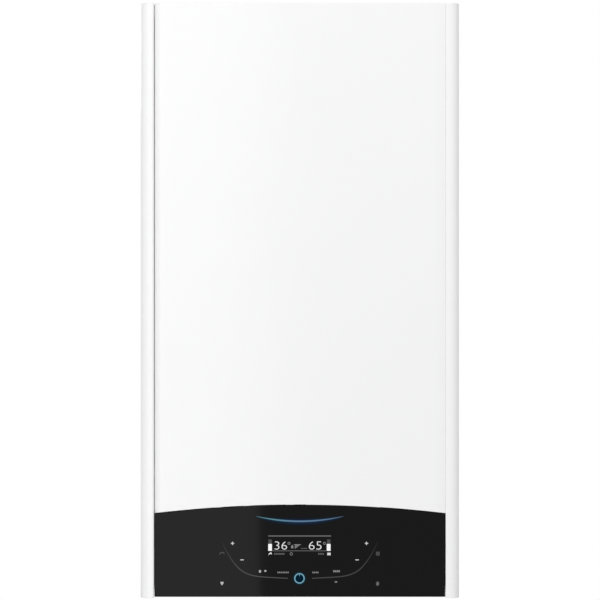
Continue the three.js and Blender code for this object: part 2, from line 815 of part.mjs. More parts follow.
function mainBoard() {
  const rear = trayRear - boardStandoff;
  const front = rear - boardSheet;
  const bottom = trayBottom + boardMargin;
  const top = trayTop - boardMargin;
  const half = boardWidth / 2;
  const board = block(-half, half, front, rear, bottom, top);
  // A part that stands on the board, measured from its lower left corner.
  const onBoard = (left, width, rise, height, reach) => {
    const x = left - half;
    const z = bottom + rise;
    return block(x, x + width, front - reach, front + 0.4, z, z + height);
  };
  const relays = [0, 1, 2, 3].map((i) => onBoard(relayMargin + i * relayPitch, relayWidth, 20, 28, 13));
  const transformer = onBoard(boardWidth - transformerWidth - relayMargin, transformerWidth, 16, 34, 22);
  const terminals = onBoard(relayMargin, relayPitch * 4, 3, 10, 11);
  const plugs = onBoard(boardWidth - relayPitch * 4 - relayMargin, relayPitch * 4, 60, 10, 10);
  const capacitorX = half - transformerWidth - relayMargin - capacitorRadius * 2;
  const capacitor = barY(capacitorRadius, front - 20, front + 0.4, capacitorX, bottom + 32, 10);
  return joined(board, ...relays, transformer, capacitor, terminals, plugs);
}

function displayModule() {
  const half = displayWidth / 2;
  const rear = trayFront + displayDepth;
  const z0 = displayCentre - displayHeight / 2;
  const body = block(-half, half, trayFront, rear, z0, z0 + displayHeight);
  const connector = block(-14, 14, rear - 0.5, rear + 4, z0 + 4, z0 + 9);
  return joined(body, connector);
}

// Flue

const bellBore = flueRadius + 0.6; // takes the flue's inner pipe
const bellRadius = bellBore + flueWall;
const socketTop = casingHeight - 1;
const socketFoot = socketTop - socketDepth;

function flueCollar() {
  const seat = topPlateZ + sheet + seatGap;
  const outerBore = ductRadius + 0.3;
  const flangeTop = seat + 2.5;
  const outerSocket = turnedZ(
    [
      [outerBore, socketFoot],
      [outerBore + flueWall, socketFoot],
      [outerBore + flueWall, seat],
      [collarFlange, seat],
      [collarFlange, flangeTop],
      [outerBore + flueWall, flangeTop],
      [outerBore + flueWall, socketTop],
      [outerBore, socketTop],
      [outerBore, socketFoot],
    ],
    0,
    -flueFromWall,
    16,
  );
  // Four feet that keep the inner pipe's bell in the middle.
  const feet = [0, 1, 2, 3].map((i) => {
    const foot = block(bellRadius + seatGap, outerBore + flueWall / 2, -1.2, 1.2, socketFoot, socketFoot + 12);
    return foot.rotateZ((i * Math.PI) / 2 + Math.PI / 4).translate(0, -flueFromWall, 0);
  });
  const plugHoles = [-1, 1].map((side) => {
    const x = (side * (ductRadius + collarFlange)) / 2;
    return barZ(plugRadius + seatGap, seat - 1, flangeTop + 1, x, -flueFromWall, 8);
  });
  return cut(joined(outerSocket, ...feet), ...plugHoles);
}

function samplingPlug(side) {
  const flangeTop = topPlateZ + sheet + seatGap + 2.5;
  const x = (side * (ductRadius + collarFlange)) / 2;
  return turnedZ(
    [
      [0, topPlateZ - 4],
      [plugRadius, topPlateZ - 4],
      [plugRadius, flangeTop + seatGap],
      [plugRadius + 3, flangeTop + seatGap],
      [plugRadius + 2.4, flangeTop + 5],
      [0, flangeTop + 5],
    ],
    x,
    -flueFromWall,
    12,
  );
}

function fluePipe() {
  const foot = exchangerZ + exchangerHalf + seatGap;
  const bore = flueRadius - flueWall;
  const bellFoot = socketFoot - 8;
  return turnedZ(
    [
      [bore, foot],
      [flueRadius, foot],
      [flueRadius, bellFoot],
      [bellRadius, bellFoot + 4],
      [bellRadius, socketTop],
      [bellBore, socketTop],
      [bellBore, bellFoot + 6],
      [bore, bellFoot + 2],
      [bore, foot],
    ],
    0,
    -flueFromWall,
    16,
  );
}

// Heat exchanger and burner

// Whole turns that fit between the shell's rear wall and its front, plus the half turn to the lower end.
const coilRoom = exchangerFront - exchangerRear - exchangerWall - 2 * coilAxial;
const coilTurns = Math.floor(coilRoom / coilPitch) - 0.5;
const coilRearY = shellRear - exchangerWall - coilAxial;
const coilFrontY = coilRearY - coilTurns * coilPitch;
const coilEndX = exchangerHalf + coilReach;

// One flattened tube wound about the exchanger's axis. Both ends leave straight to the right: the upper end at
// the rear, the lower end at the front.
function exchangerCoil() {
  const stepsPerTurn = 12;
  const steps = Math.round(coilTurns * stepsPerTurn);
  const rings = [];
  const section = [];
  for (let i = 0; i < 6; i += 1) {
    const angle = ((i + 0.5) * Math.PI) / 3;
    section.push([(Math.cos(angle) * coilRadial) / 2 / Math.cos(Math.PI / 6), (Math.sin(angle) * coilAxial) / 2]);
  }
  const ring = (x, y, z, angle) => {
    const out = [Math.cos(angle), Math.sin(angle)];
    rings.push(section.map(([r, a]) => [x + r * out[0], y + a, z + r * out[1]]));
  };
  ring(coilEndX, coilRearY, exchangerZ + coilRadius, Math.PI / 2);
  for (let i = 0; i <= steps; i += 1) {
    const share = i / steps;
    const angle = Math.PI / 2 + share * coilTurns * Math.PI * 2;
    const x = Math.cos(angle) * coilRadius;
    const z = exchangerZ + Math.sin(angle) * coilRadius;
    ring(x, coilRearY + share * (coilFrontY - coilRearY), z, angle);
  }
  ring(coilEndX, coilFrontY, exchangerZ - coilRadius, -Math.PI / 2);
  const corners = rings.flat(2);
  const faces = [];
  const sides = section.length;
  for (let i = 0; i + 1 < rings.length; i += 1) {
    for (let j = 0; j < sides; j += 1) {
      const a = i * sides + j;
      const b = i * sides + ((j + 1) % sides);
      faces.push(a, b, b + sides, a, b + sides, a + sides);
    }
  }
  const endRing = (rings.length - 1) * sides;
  for (let j = 1; j + 1 < sides; j += 1) {
    faces.push(0, j + 1, j, endRing, endRing + j, endRing + j + 1);
  }
  const geometry = new THREE.BufferGeometry();
  geometry.setAttribute('position', new THREE.Float32BufferAttribute(corners, 3));
  geometry.setIndex(faces);
  const gap = coilPitch - coilAxial;
  console.log(`exchanger coil: ${coilTurns} turns, least gap between turns ${gap.toFixed(1)} mm`);
  return tidied(geometry);
}

function exchangerShell() {
  const half = exchangerHalf;
  const corner = 30;
  const box = (inset, front, rear) => {
    const reach = half - inset;
    const shape = roundedRectangle(-reach, reach, exchangerZ - reach, exchangerZ + reach, corner - inset);
    return plateXZ(shape, front, rear, 2);
  };
  const flange = box(-doorMargin, shellFront, shellFront + 3);
  const hollow = box(exchangerWall, shellFront - 1, shellRear - exchangerWall);
  const flueHole = barZ(flueRadius - flueWall, exchangerZ + half - 6, exchangerZ + half + 6, 0, -flueFromWall, 16);
  const drainHole = barZ(hoseRadius - 2, exchangerZ - half - 6, exchangerZ - half + 6, 0, shellRear - 28, 10);
  const slack = 0.5;
  const tailHole = (y, z) => block(
    half - 6,
    half + 6,
    y - coilAxial / 2 - slack,
    y + coilAxial / 2 + slack,
    z - coilRadial / 2 - slack,
    z + coilRadial / 2 + slack,
  );
  return cut(
    joined(box(0, shellFront, shellRear), flange),
    hollow,
    flueHole,
    drainHole,
    tailHole(coilRearY, exchangerZ + coilRadius),
    tailHole(coilFrontY, exchangerZ - coilRadius),
  );
}

const doorRear = shellFront - seatGap;
const doorFront = doorRear - doorSheet;
const hubFront = doorRear - doorSheet - hubLength;

function portPlace(degrees) {
  const angle = THREE.MathUtils.degToRad(degrees);
  return [Math.cos(angle) * portCircle, exchangerZ + Math.sin(angle) * portCircle];
}

function burnerDoor() {
  const half = exchangerHalf + doorMargin;
  const slab = plateXZ(
    roundedRectangle(-half, half, exchangerZ - half, exchangerZ + half, 34),
    doorFront,
    doorRear,
    2,
  );
  const hub = turnedY(
    [
      [0, hubFront],
      [hubRadius - 8, hubFront],
      [hubRadius - 2, hubFront + 6],
      [hubRadius, doorFront + 1],
      [0, doorFront + 1],
    ],
    0,
    exchangerZ,
    14,
  );
  const inlet = barX(ductTubeRadius + 4, -hubRadius - 18, -20, ductY, exchangerZ);
  const ribs = [15, 105, 140, 220, 330].map((degrees) => {
    const rib = block(hubRadius - 6, half - 14, doorFront - 7, doorFront + 1, -1.6, 1.6);
    return rib.rotateY(-THREE.MathUtils.degToRad(degrees)).translate(0, 0, exchangerZ);
  });
  const nuts = [0, 1, 2, 3, 4, 5].map((i) => {
    const angle = ((i + 0.5) * Math.PI) / 3;
    const x = Math.cos(angle) * (half - 12);
    const z = exchangerZ + Math.sin(angle) * (half - 12);
    return barY(6, doorFront - 6, doorFront + 1, x, z, 6);
  });
  const [sightX, sightZ] = portPlace(sightAngle);
  const [sparkX, sparkZ] = portPlace(electrodeAngle);
  const sightHole = barY(7, doorFront - 20, doorRear + 1, sightX, sightZ, 8);
  const sparkHole = barY(6, doorFront - 20, doorRear + 1, sparkX, sparkZ, 8);
  const mixtureHole = barY(burnerRadius - 4, doorFront - 20, doorRear + 1, 0, exchangerZ, 14);
  return cut(joined(slab, hub, inlet, ...ribs, ...nuts), sightHole, sparkHole, mixtureHole);
}

function burnerTube() {
  const wall = 1.2;
  const front = doorRear + seatGap;
  const rear = front + burnerLength;
  return turnedY(
    [
      [burnerRadius - wall, front],
      [burnerRadius + 6, front],
      [burnerRadius + 6, front + 1.5],
      [burnerRadius, front + 1.5],
      [burnerRadius, rear - 6],
      [burnerRadius - 8, rear],
      [0, rear],
      [0, rear - wall],
      [burnerRadius - 9, rear - wall],
      [burnerRadius - wall, rear - 7],
      [burnerRadius - wall, front],
    ],
    0,
    exchangerZ,
    14,
  );
}

function sightGlass() {
  const [x, z] = portPlace(sightAngle);
  const seat = doorFront - seatGap;
  return turnedY([[0, seat - 5], [8, seat - 5], [10.5, seat - 3], [10.5, seat], [0, seat]], x, z, 14);
}

function ignitionElectrode() {
  const [x, z] = portPlace(electrodeAngle);
  const seat = doorFront - seatGap;
  const plate = block(x - 7, x + 7, seat - 1.5, seat, z - 10, z + 10);
  const insulator = turnedY(
    [[0, seat - 24], [3, seat - 24], [5, seat - 14], [5, doorRear + 12], [0, doorRear + 12]],
    x,
    z,
    10,
  );
  const rod = barY(1.2, doorRear + 11, doorRear + 40, x, z, 6);
  return joined(plate, insulator, rod);
}

// Fan, mixer and gas

// The fan housing's outline: a scroll that widens clockwise from the cut-off and leaves straight up on the left.
function scroll(inset, top) {
  const shape = new THREE.Shape();
  const end = voluteEnd - inset;
  const steps = 20;
  const sweep = (330 * Math.PI) / 180;
  const cutOff = -fanSide - (voluteStart + inset * 0.2) * Math.cos(Math.PI / 6) - inset;
  shape.moveTo(-fanSide - end, top);
  for (let i = 0; i <= steps; i += 1) {
    const share = i / steps;
    const angle = Math.PI + share * sweep;
    const radius = voluteEnd + (voluteStart - voluteEnd) * share - inset;
    shape.lineTo(-fanSide + Math.cos(angle) * radius, fanZ + Math.sin(angle) * radius);
  }
  shape.lineTo(cutOff, fanZ + (voluteStart - inset) / 2 + 8);
  shape.lineTo(cutOff, top);
  return shape;
}

const fanTop = fanZ + fanOutletRise;
const outletX = -fanSide - (voluteEnd + voluteStart * Math.cos(Math.PI / 6)) / 2;
const voluteY = (fanRear + fanFront) / 2;

function fanHousing() {
  const body = plateXZ(scroll(0, fanTop), fanFront, fanRear);
  const hollow = plateXZ(scroll(voluteWall, fanTop + 2), fanFront + voluteWall, fanRear - voluteWall);
  const flangeHalf = 23;
  const flange = block(outletX - flangeHalf, outletX + flangeHalf, fanFront - 2, fanRear + 2, fanTop - 4, fanTop);
  const throat = block(
    -fanSide - voluteEnd + voluteWall,
    -fanSide - voluteStart * Math.cos(Math.PI / 6) - voluteWall,
    fanFront + voluteWall,
    fanRear - voluteWall,
    fanTop - 8,
    fanTop + 4,
  );
  const eye = barY(eyeRadius, fanRear - voluteWall - 2, fanRear + 2, -fanSide, fanZ, 14);
  const sides = 12;
  const shaftHole = barY(fanShaftRadius + 2, fanFront - 2, fanFront + voluteWall + 2, -fanSide, fanZ, sides);
  return cut(joined(body, flange), hollow, throat, eye, shaftHole);
}

// Backward-curved blades between a back disc and a shroud ring, on a hub whose shaft runs into the motor.
function fanImpeller() {
  const discFront = voluteY - impellerWidth / 2;
  const shroudRear = voluteY + impellerWidth / 2;
  const disc = barY(impellerRadius, discFront, discFront + 1.6, 0, 0, 18);
  const shroud = turnedY(
    [
      [eyeRadius + 1, shroudRear - 1.4],
      [impellerRadius, shroudRear - 1.4],
      [impellerRadius, shroudRear],
      [eyeRadius + 1, shroudRear],
      [eyeRadius + 1, shroudRear - 1.4],
    ],
    0,
    0,
    18,
  );
  const hub = turnedY([[0, discFront], [10, discFront], [7, discFront + 15], [0, discFront + 15]], 0, 0, 12);
  const shaft = barY(fanShaftRadius, fanFront - 15, discFront + 1, 0, 0, 10);
  const bladeSteps = 2;
  const blades = Array.from({ length: impellerBlades }, (_, blade) => {
    const start = (blade * Math.PI * 2) / impellerBlades;
    const edge = (offset) => Array.from({ length: bladeSteps + 1 }, (_, step) => {
      const share = step / bladeSteps;
      const radius = eyeRadius - 1 + (impellerRadius - 1.5 - eyeRadius + 1) * share;
      const angle = start + share * 0.62 + offset / radius;
      return [Math.cos(angle) * radius, Math.sin(angle) * radius];
    });
    const loop = [...edge(0), ...edge(1.3).reverse()];
    return plateXZ(outline(loop), discFront + 0.8, shroudRear - 0.7);
  });
  const wheel = joined(disc, shroud, hub, shaft, ...blades);
  return wheel.translate(-fanSide, 0, fanZ);
}

function fanMotor() {
  const seat = fanFront - seatGap;
  const end = seat - fanMotorLength;
  const can = turnedY(
    [
      [0, end],
      [fanMotorRadius - 5, end],
      [fanMotorRadius - 1, end + 4],
      [fanMotorRadius - 1, end + 12],
      [fanMotorRadius, end + 13],
      [fanMotorRadius, seat - 4],
      [fanMotorRadius + 7, seat - 4],
      [fanMotorRadius + 7, seat],
      [0, seat],
    ],
    -fanSide,
    fanZ,
    16,
  );
  const sides = 12;
  const bore = barY(holeRadius(fanShaftRadius, runGap, sides), seat - 15, seat + 1, -fanSide, fanZ, sides);
  const plug = block(-fanSide - 10, -fanSide + 10, end + 8, seat - 6, fanZ - fanMotorRadius - 7, fanZ - 20);
  return cut(joined(can, plug), bore);
}

function mixtureDuct() {
  const foot = fanTop + seatGap;
  const plate = block(outletX - 23, outletX + 23, fanFront - 2, fanRear + 2, foot, foot + 4);
  const pipe = bentTube(
    circle(ductTubeRadius),
    [
      [outletX, voluteY, foot + 1],
      [outletX, voluteY, foot + 30],
      [outletX, ductY, foot + 66],
      [outletX, ductY, exchangerZ],
      [-hubRadius - 18 - seatGap, ductY, exchangerZ],
    ],
    30,
    10,
  );
  const collar = barX(ductTubeRadius + 4, -hubRadius - 28, -hubRadius - 18 - seatGap, ductY, exchangerZ);
  return joined(plate, pipe, collar);
}

const mixerFront = fanRear + seatGap;
const mixerRear = mixerFront + mixerLength;
const gasFeedY = mixerFront + mixerLength / 2;

function airGasMixer() {
  const body = turnedY(
    [
      [eyeRadius - 1, mixerFront],
      [mixerRadius + 5, mixerFront],
      [mixerRadius + 5, mixerFront + 4],
      [mixerRadius, mixerFront + 6],
      [mixerRadius, mixerRear],
      [silencerRadius - silencerWall, mixerRear],
      [throatRadius, gasFeedY + 4],
      [throatRadius, gasFeedY - 4],
      [eyeRadius - 1, mixerFront],
    ],
    -fanSide,
    fanZ,
    14,
  );
  const portInner = -fanSide + throatRadius + 4;
  const port = barX(gasPipeRadius * 1.6, portInner, -fanSide + mixerRadius + 9, gasFeedY, fanZ, 8);
  return joined(body, port);
}

// A hollow elbow that draws air from the casing through its open upper end.
function airSilencer() {
  const ring = circle(silencerRadius);
  ring.holes.push(new THREE.Path().absarc(0, 0, silencerRadius - silencerWall, 0, Math.PI * 2, true));
  const legY = -vesselDepth - silencerRadius - 7;
  return bentTube(
    ring,
    [
      [-fanSide, mixerRear + seatGap, fanZ],
      [-fanSide, legY, fanZ],
      [-silencerSide, legY, fanZ],
      [-silencerSide, legY, exchangerZ + silencerTop],
    ],
    silencerRadius + 4,
    10,
  );
}

const gasValveX = gasValveSide - gasValveWidth / 2;
const gasValveFoot = fanZ - gasValveHeight / 2;

function gasValve() {
  const x0 = gasValveX;
  const x1 = gasValveX + gasValveWidth;
  const front = gasFeedY - 42;
  const rear = gasFeedY + 26;
  const top = gasValveFoot + gasValveHeight;
  const body = block(x0 + 8, x1 - 8, front, rear, gasValveFoot + 12, top - 12);
  const inlet = barZ(gasPipeRadius * 2, gasValveFoot, gasValveFoot + 14, gasValveSide, gasFeedY - 8, 10);
  const outlet = barX(gasPipeRadius * 2, x0, x0 + 10, gasFeedY, fanZ, 10);
  const coils = [-1, 1].map((side) => {
    return barY(15, front - 26, front + 1, gasValveSide, fanZ + side * 18, 12);
  });
  const regulator = barX(13, x1 - 10, x1, gasFeedY - 8, fanZ, 10);
  const connector = block(gasValveSide - 14, gasValveSide + 14, front - 14, front + 1, top - 14, top);
  return joined(body, inlet, outlet, ...coils, regulator, connector);
}

function gasFeedPipe() {
  const from = -fanSide + mixerRadius + 9 + seatGap;
  const to = gasValveX - seatGap;
  return fittedPipe(gasPipeRadius, [[from, gasFeedY, fanZ], [to, gasFeedY, fanZ]], 12, 12);
}

function gasSupplyPipe() {
  const valveY = gasFeedY - 8;
  const pipe = fittedPipe(
    gasPipeRadius,
    [
      [0, hydraulicY, bracketTop + 2],
      [0, hydraulicY, bracketTop + 50],
      [0, hydraulicY - 46, manifoldTop + 20],
      [0, hydraulicY - 46, gasValveFoot - 60],
      [gasValveSide, valveY, gasValveFoot - 30],
      [gasValveSide, valveY, gasValveFoot - seatGap],
    ],
    20,
  );
  return joined(pipe, connectionTail(0, heatingTailRadius));
}

// A threaded tail through the bottom bracket, with its hexagon above and an open bore below.
function connectionTail(x, radius) {
  const bore = radius - tailWall;
  const head = bracketTop + seatGap;
  return turnedZ(
    [
      [0, bracketHeight],
      [bore, bracketHeight],
      [bore, tailFoot],
      [radius, tailFoot],
      [radius, head],
      [radius + 4.5, head],
      [radius + 4.5, head + 9],
      [0, head + 9],
    ],
    x,
    hydraulicY,
    10,
  );
}

// Expansion vessel

function expansionVessel() {
  const rear = -frameSheet - seatGap;
  const front = -vesselDepth - frameSheet - seatGap;
  const middle = (rear + front) / 2;
  const shell = vesselRadius - vesselRim;
  const body = turnedY(
    [
      [0, front],
      [shell * 0.8, front + 9],
      [shell * 0.96, front + 24],
      [shell, middle - 4],
      [vesselRadius, middle - 4],
      [vesselRadius, middle + 4],
      [shell, middle + 4],
      [shell * 0.96, rear - 20],
      [shell * 0.84, rear],
      [0, rear],
    ],
    0,
    vesselZ,
    20,
  );
  const nipple = barZ(8, vesselZ - vesselRadius - 7, vesselZ - vesselRadius + 30, -40, middle, 10);
  return joined(body, nipple);
}

const vesselMiddle = -frameSheet - seatGap - vesselDepth / 2;

function vesselPipe() {
  return fittedPipe(
    5.5,
    [
      [-40, vesselMiddle, vesselZ - vesselRadius - 7 - seatGap],
      [-40, vesselMiddle, manifoldTop + 60],
      [dhwTailX + 5, hydraulicY, manifoldTop + 30],
      [dhwTailX + 5, hydraulicY, manifoldTop + seatGap],
    ],
    18,
    8,
  );
}

// Hydraulic groups

const platesFront = hydraulicY + barrelRadius + 6;
const platesFoot = bracketTop + seatGap;
const platesPortX = platesWidth / 2 - 14;
const platesPortZ = platesHeight / 2 - 14;

function plateExchanger() {
  const z0 = platesFoot;
  const z1 = platesFoot + platesHeight;
  const pitch = platesDepth / platesCount;
  const core = plateXZ(
    roundedRectangle(-platesWidth / 2 + 1.5, platesWidth / 2 - 1.5, z0 + 1.5, z1 - 1.5, 12),
    platesFront + 1,
    platesFront + platesDepth - 1,
    1,
  );
  const plates = Array.from({ length: platesCount }, (_, i) => plateXZ(
    roundedRectangle(-platesWidth / 2, platesWidth / 2, z0, z1, 13),
    platesFront + i * pitch,
    platesFront + i * pitch + pitch * 0.6,
    1,
  ));
  const middle = (z0 + z1) / 2;
  const ports = [-1, 1].flatMap((side) => [-1, 1].map((level) => {
    const z = middle + level * platesPortZ;
    return barY(10, platesFront - 5, platesFront + 1, side * platesPortX, z, 8);
  }));
  return joined(core, ...plates, ...ports);
}

// Ports that reach back from a manifold to the plate exchanger.
function platePorts(side) {
  const middle = platesFoot + platesHeight / 2;
  return [-1, 1].map((level) => {
    const z = middle + level * platesPortZ;
    return barY(12, hydraulicY, platesFront - 5 - seatGap, side * platesPortX, z, 6);
  });
}

function flowManifold() {
  const barrel = barX(barrelRadius, hotTailX - 28, dhwTailX + 18, hydraulicY, barrelZ, 12);
  const diverterBody = barZ(barrelRadius - 2, bracketTop + 4, manifoldTop, hotTailX, hydraulicY, 10);
  const flowPort = barZ(14, barrelZ, manifoldTop, hotTailX + 40, hydraulicY, 10);
  const vesselPort = barZ(9, barrelZ, manifoldTop, dhwTailX + 5, hydraulicY, 8);
  const valvePort = barY(11, hydraulicY - barrelRadius - 6, hydraulicY, hotTailX - 14, barrelZ, 8);
  const sensorPort = barY(8, hydraulicY - barrelRadius - 6, hydraulicY, dhwTailX - 18, barrelZ, 8);
  const tails = [connectionTail(hotTailX, heatingTailRadius), connectionTail(dhwTailX, waterTailRadius)];
  const necks = [hotTailX, dhwTailX].map((x) => barZ(14, bracketTop + 5, barrelZ, x, hydraulicY, 8));
  const sides = 12;
  const spindleBore = barZ(
    holeRadius(valveRadius, runGap, sides),
    barrelZ - 20 - diverterTravel,
    manifoldTop + 1,
    hotTailX,
    hydraulicY,
    sides,
  );
  return cut(
    joined(
      barrel,
      diverterBody,
      flowPort,
      vesselPort,
      valvePort,
      sensorPort,
      ...platePorts(-1),
      ...tails,
      ...necks,
    ),
    spindleBore,
  );
}

const spindleTop = manifoldTop + 16;

function diverterSpindle() {
  const stem = barZ(spindleRadius, barrelZ - 18, spindleTop, hotTailX, hydraulicY, 12);
  const valves = [barrelZ - 18, barrelZ + 8].map((z) => barZ(valveRadius, z, z + 7, hotTailX, hydraulicY));
  return joined(stem, ...valves);
}

function diverterMotor() {
  const foot = manifoldTop + seatGap;
  const body = plateXY(
    roundedRectangle(hotTailX - 22, hotTailX + 22, hydraulicY - 24, hydraulicY + 20, 6),
    foot + 10,
    foot + 66,
    2,
  );
  const collar = barZ(17, foot, foot + 11, hotTailX, hydraulicY);
  const cap = barZ(12, foot + 65, foot + 72, hotTailX, hydraulicY, 8);
  const sides = 12;
  const socketRadius = holeRadius(spindleRadius, runGap, sides);
  const socket = barZ(socketRadius, foot - 1, spindleTop + 2, hotTailX, hydraulicY, sides);
  return cut(joined(body, collar, cap), socket);
}

const valveSeatY = hydraulicY - barrelRadius - 6 - seatGap;

function safetyValve() {
  const x = hotTailX - 14;
  const body = barY(12, valveSeatY - 26, valveSeatY, x, barrelZ, 6);
  const outlet = barZ(7, barrelZ - 26, barrelZ, x, valveSeatY - 14, 8);
  const sides = 12;
  const bore = barY(holeRadius(3, runGap, sides), valveSeatY - 27, valveSeatY - 14, x, barrelZ, sides);
  return cut(joined(body, outlet), bore);
}

// A knob with finger flutes round its rim and a short stem.
function flutedKnob(radius, length, stemRadius, stemLength) {
  const points = [];
  const flutes = 8;
  const steps = flutes * 3;
  for (let i = 0; i < steps; i += 1) {
    const angle = (i / steps) * Math.PI * 2;
    const reach = radius - (i % 3 === 0 ? radius * 0.12 : 0);
    points.push([Math.cos(angle) * reach, Math.sin(angle) * reach]);
  }
  const head = plateXY(outline(points), 0, length);
  const stem = barZ(stemRadius, length - 1, length + stemLength, 0, 0, 12);
  return joined(head, stem);
}

function safetyKnob() {
  const knob = flutedKnob(knobRadius, 16, 3, 12).rotateX(-Math.PI / 2);
  return knob.translate(hotTailX - 14, valveSeatY - 26 - seatGap - 16, barrelZ);
}

function pressureSensor() {
  const x = dhwTailX - 18;
  const body = barY(8, valveSeatY - 18, valveSeatY, x, barrelZ, 10);
  const hexagon = barY(10, valveSeatY - 8, valveSeatY - 2, x, barrelZ, 6);
  const plug = block(x - 6, x + 6, valveSeatY - 30, valveSeatY - 17, barrelZ - 5, barrelZ + 5);
  return joined(body, hexagon, plug);
}

const fillingX = (coldTailX + returnTailX) / 2;

function returnManifold() {
  const barrel = barX(barrelRadius, coldTailX - 18, returnTailX + 28, hydraulicY, barrelZ, 12);
  const pumpPort = barZ(17, barrelZ, manifoldTop, pumpSide, hydraulicY, 10);
  const drainPort = barY(8, hydraulicY - barrelRadius - 6, hydraulicY, returnTailX + 10, barrelZ - 6, 8);
  const tails = [connectionTail(coldTailX, waterTailRadius), connectionTail(returnTailX, heatingTailRadius)];
  const necks = [coldTailX, returnTailX, fillingX].map((x) => barZ(14, bracketTop + 3, barrelZ, x, hydraulicY, 8));
  const turbineBore = barZ(waterTailRadius - tailWall, tailFoot - 1, barrelZ + 10, coldTailX, hydraulicY, 10);
  const pivotBore = barZ(holeRadius(1.5, runGap, 12), barrelZ + 9, barrelZ + 14, coldTailX, hydraulicY, 12);
  const sides = 12;
  const tapBore = barZ(holeRadius(4, runGap, sides), bracketTop, bracketTop + 22, fillingX, hydraulicY, sides);
  const drainBore = barY(
    holeRadius(2.5, runGap, 12),
    hydraulicY - barrelRadius - 7,
    hydraulicY - barrelRadius + 6,
    returnTailX + 10,
    barrelZ - 6,
    12,
  );
  return cut(
    joined(barrel, pumpPort, drainPort, ...platePorts(1), ...tails, ...necks),
    turbineBore,
    pivotBore,
    tapBore,
    drainBore,
  );
}

// A four-bladed turbine wheel on an axle that turns in the manifold.
function flowTurbine() {
  const bottom = barrelZ - 8;
  const hub = barZ(2.6, bottom, barrelZ + 8, 0, 0, 8);
  const axle = barZ(1.5, bottom, barrelZ + 13, 0, 0, 8);
  const blades = [0, 1, 2, 3].map((i) => {
    const blade = block(1, turbineRadius, -0.6, 0.6, -7, 7).rotateX(Math.PI / 7);
    return blade.rotateZ((i * Math.PI) / 2).translate(0, 0, barrelZ);
  });
  return joined(hub, axle, ...blades).translate(coldTailX, hydraulicY, 0);
}

function fillingKnob() {
  const length = 15;
  const foot = bracketHeight - 4 - length;
  return flutedKnob(knobRadius, length, 4, bracketTop + 16 - foot - length).translate(fillingX, hydraulicY, foot);
}

function drainCock() {
  const x = returnTailX + 10;
  const z = barrelZ - 6;
  const body = barY(6, valveSeatY - 12, valveSeatY, x, z, 6);
  const stem = barY(2.5, valveSeatY - 1, hydraulicY - barrelRadius + 4, x, z, 12);
  const lever = block(x - 12, x + 12, valveSeatY - 15, valveSeatY - 11, z - 2.5, z + 2.5);
  return joined(body, stem, lever);
}

const pumpFront = hydraulicY - pumpWidth / 2;
const pumpTop = pumpZ + pumpRise - 6;

function pumpHousing() {
  const volute = turnedY(
    [
      [0, pumpFront],
      [pumpRadius, pumpFront],
      [pumpRadius, pumpFront + pumpWidth * 0.5],
      [pumpRadius - 9, pumpFront + pumpWidth * 0.9],
      [pumpRadius - 20, pumpFront + pumpWidth],
      [0, pumpFront + pumpWidth],
    ],
    pumpSide,
    pumpZ,
    18,
  );
  const lowerPort = barZ(15, manifoldTop + seatGap, pumpZ, pumpSide, hydraulicY, 10);
  const upperPort = barZ(15, pumpZ, pumpTop, pumpSide, hydraulicY, 10);
  const lowerNut = barZ(21, manifoldTop + seatGap, manifoldTop + 12, pumpSide, hydraulicY, 6);
  const upperNut = barZ(20, pumpTop - 12, pumpTop, pumpSide, hydraulicY, 6);
  const ventArm = barX(11, pumpSide - pumpRadius - 12, pumpSide - 30, hydraulicY, pumpZ + 14, 8);
  const chamber = barY(34, pumpFront - 1, pumpFront + 20, pumpSide, pumpZ);
  const sides = 12;
  const tailBore = barY(holeRadius(3, runGap, sides), pumpFront + 19, pumpFront + 30, pumpSide, pumpZ, sides);
  return cut(joined(volute, lowerPort, upperPort, lowerNut, upperNut, ventArm), chamber, tailBore);
}

function pumpMotor() {
  const seat = pumpFront - seatGap;
  const end = seat - pumpMotorLength;
  const can = turnedY(
    [
      [0, end],
      [13, end],
      [14, end + 4],
      [pumpMotorRadius - 7, end + 4],
      [pumpMotorRadius, end + 12],
      [pumpMotorRadius, seat - 18],
      [pumpMotorRadius + 3, seat - 14],
      [pumpMotorRadius + 3, seat],
      [0, seat],
    ],
    pumpSide,
    pumpZ,
    16,
  );
  const terminalBox = block(pumpSide - 30, pumpSide + 30, end + 14, seat - 22, pumpZ, pumpZ + pumpMotorRadius + 12);
  const sides = 12;
  const bore = barY(holeRadius(pumpShaftRadius, runGap, sides), end + 20, seat + 1, pumpSide, pumpZ, sides);
  return cut(joined(can, terminalBox), bore);
}

function pumpRotor() {
  const wheelFront = pumpFront + 3;
  const disc = barY(31, wheelFront, wheelFront + 2, 0, 0, 14);
  const cover = turnedY(
    [
      [12, wheelFront + 10],
      [31, wheelFront + 10],
      [31, wheelFront + 12],
      [12, wheelFront + 12],
      [12, wheelFront + 10],
    ],
    0,
    0,
    14,
  );
  const vanes = [0, 1, 2, 3, 4, 5].map((i) => {
    return block(7, 30, wheelFront + 1, wheelFront + 11, -1, 1).rotateY(0.5).rotateY((i * Math.PI) / 3);
  });
  const hub = barY(9, wheelFront, wheelFront + 8, 0, 0, 10);
  const shaft = barY(pumpShaftRadius, pumpFront - pumpMotorLength + 22, wheelFront + 1, 0, 0, 10);
  const tail = barY(3, wheelFront + 1, pumpFront + 28, 0, 0, 10);
  return joined(disc, cover, ...vanes, hub, shaft, tail).translate(pumpSide, 0, pumpZ);
}

function airVent() {
  const x = pumpSide - pumpRadius - 12 - seatGap - 15;
  const z = pumpZ + 14;
  const body = turnedZ(
    [[0, z - 22], [10, z - 22], [15, z - 16], [15, z + 34], [12, z + 38], [6, z + 38], [6, z + 44], [0, z + 44]],
    x,
    hydraulicY,
    14,
  );
  const flat = block(x + 10, x + 15, hydraulicY - 8, hydraulicY + 8, z - 8, z + 8);
  return joined(body, flat);
}

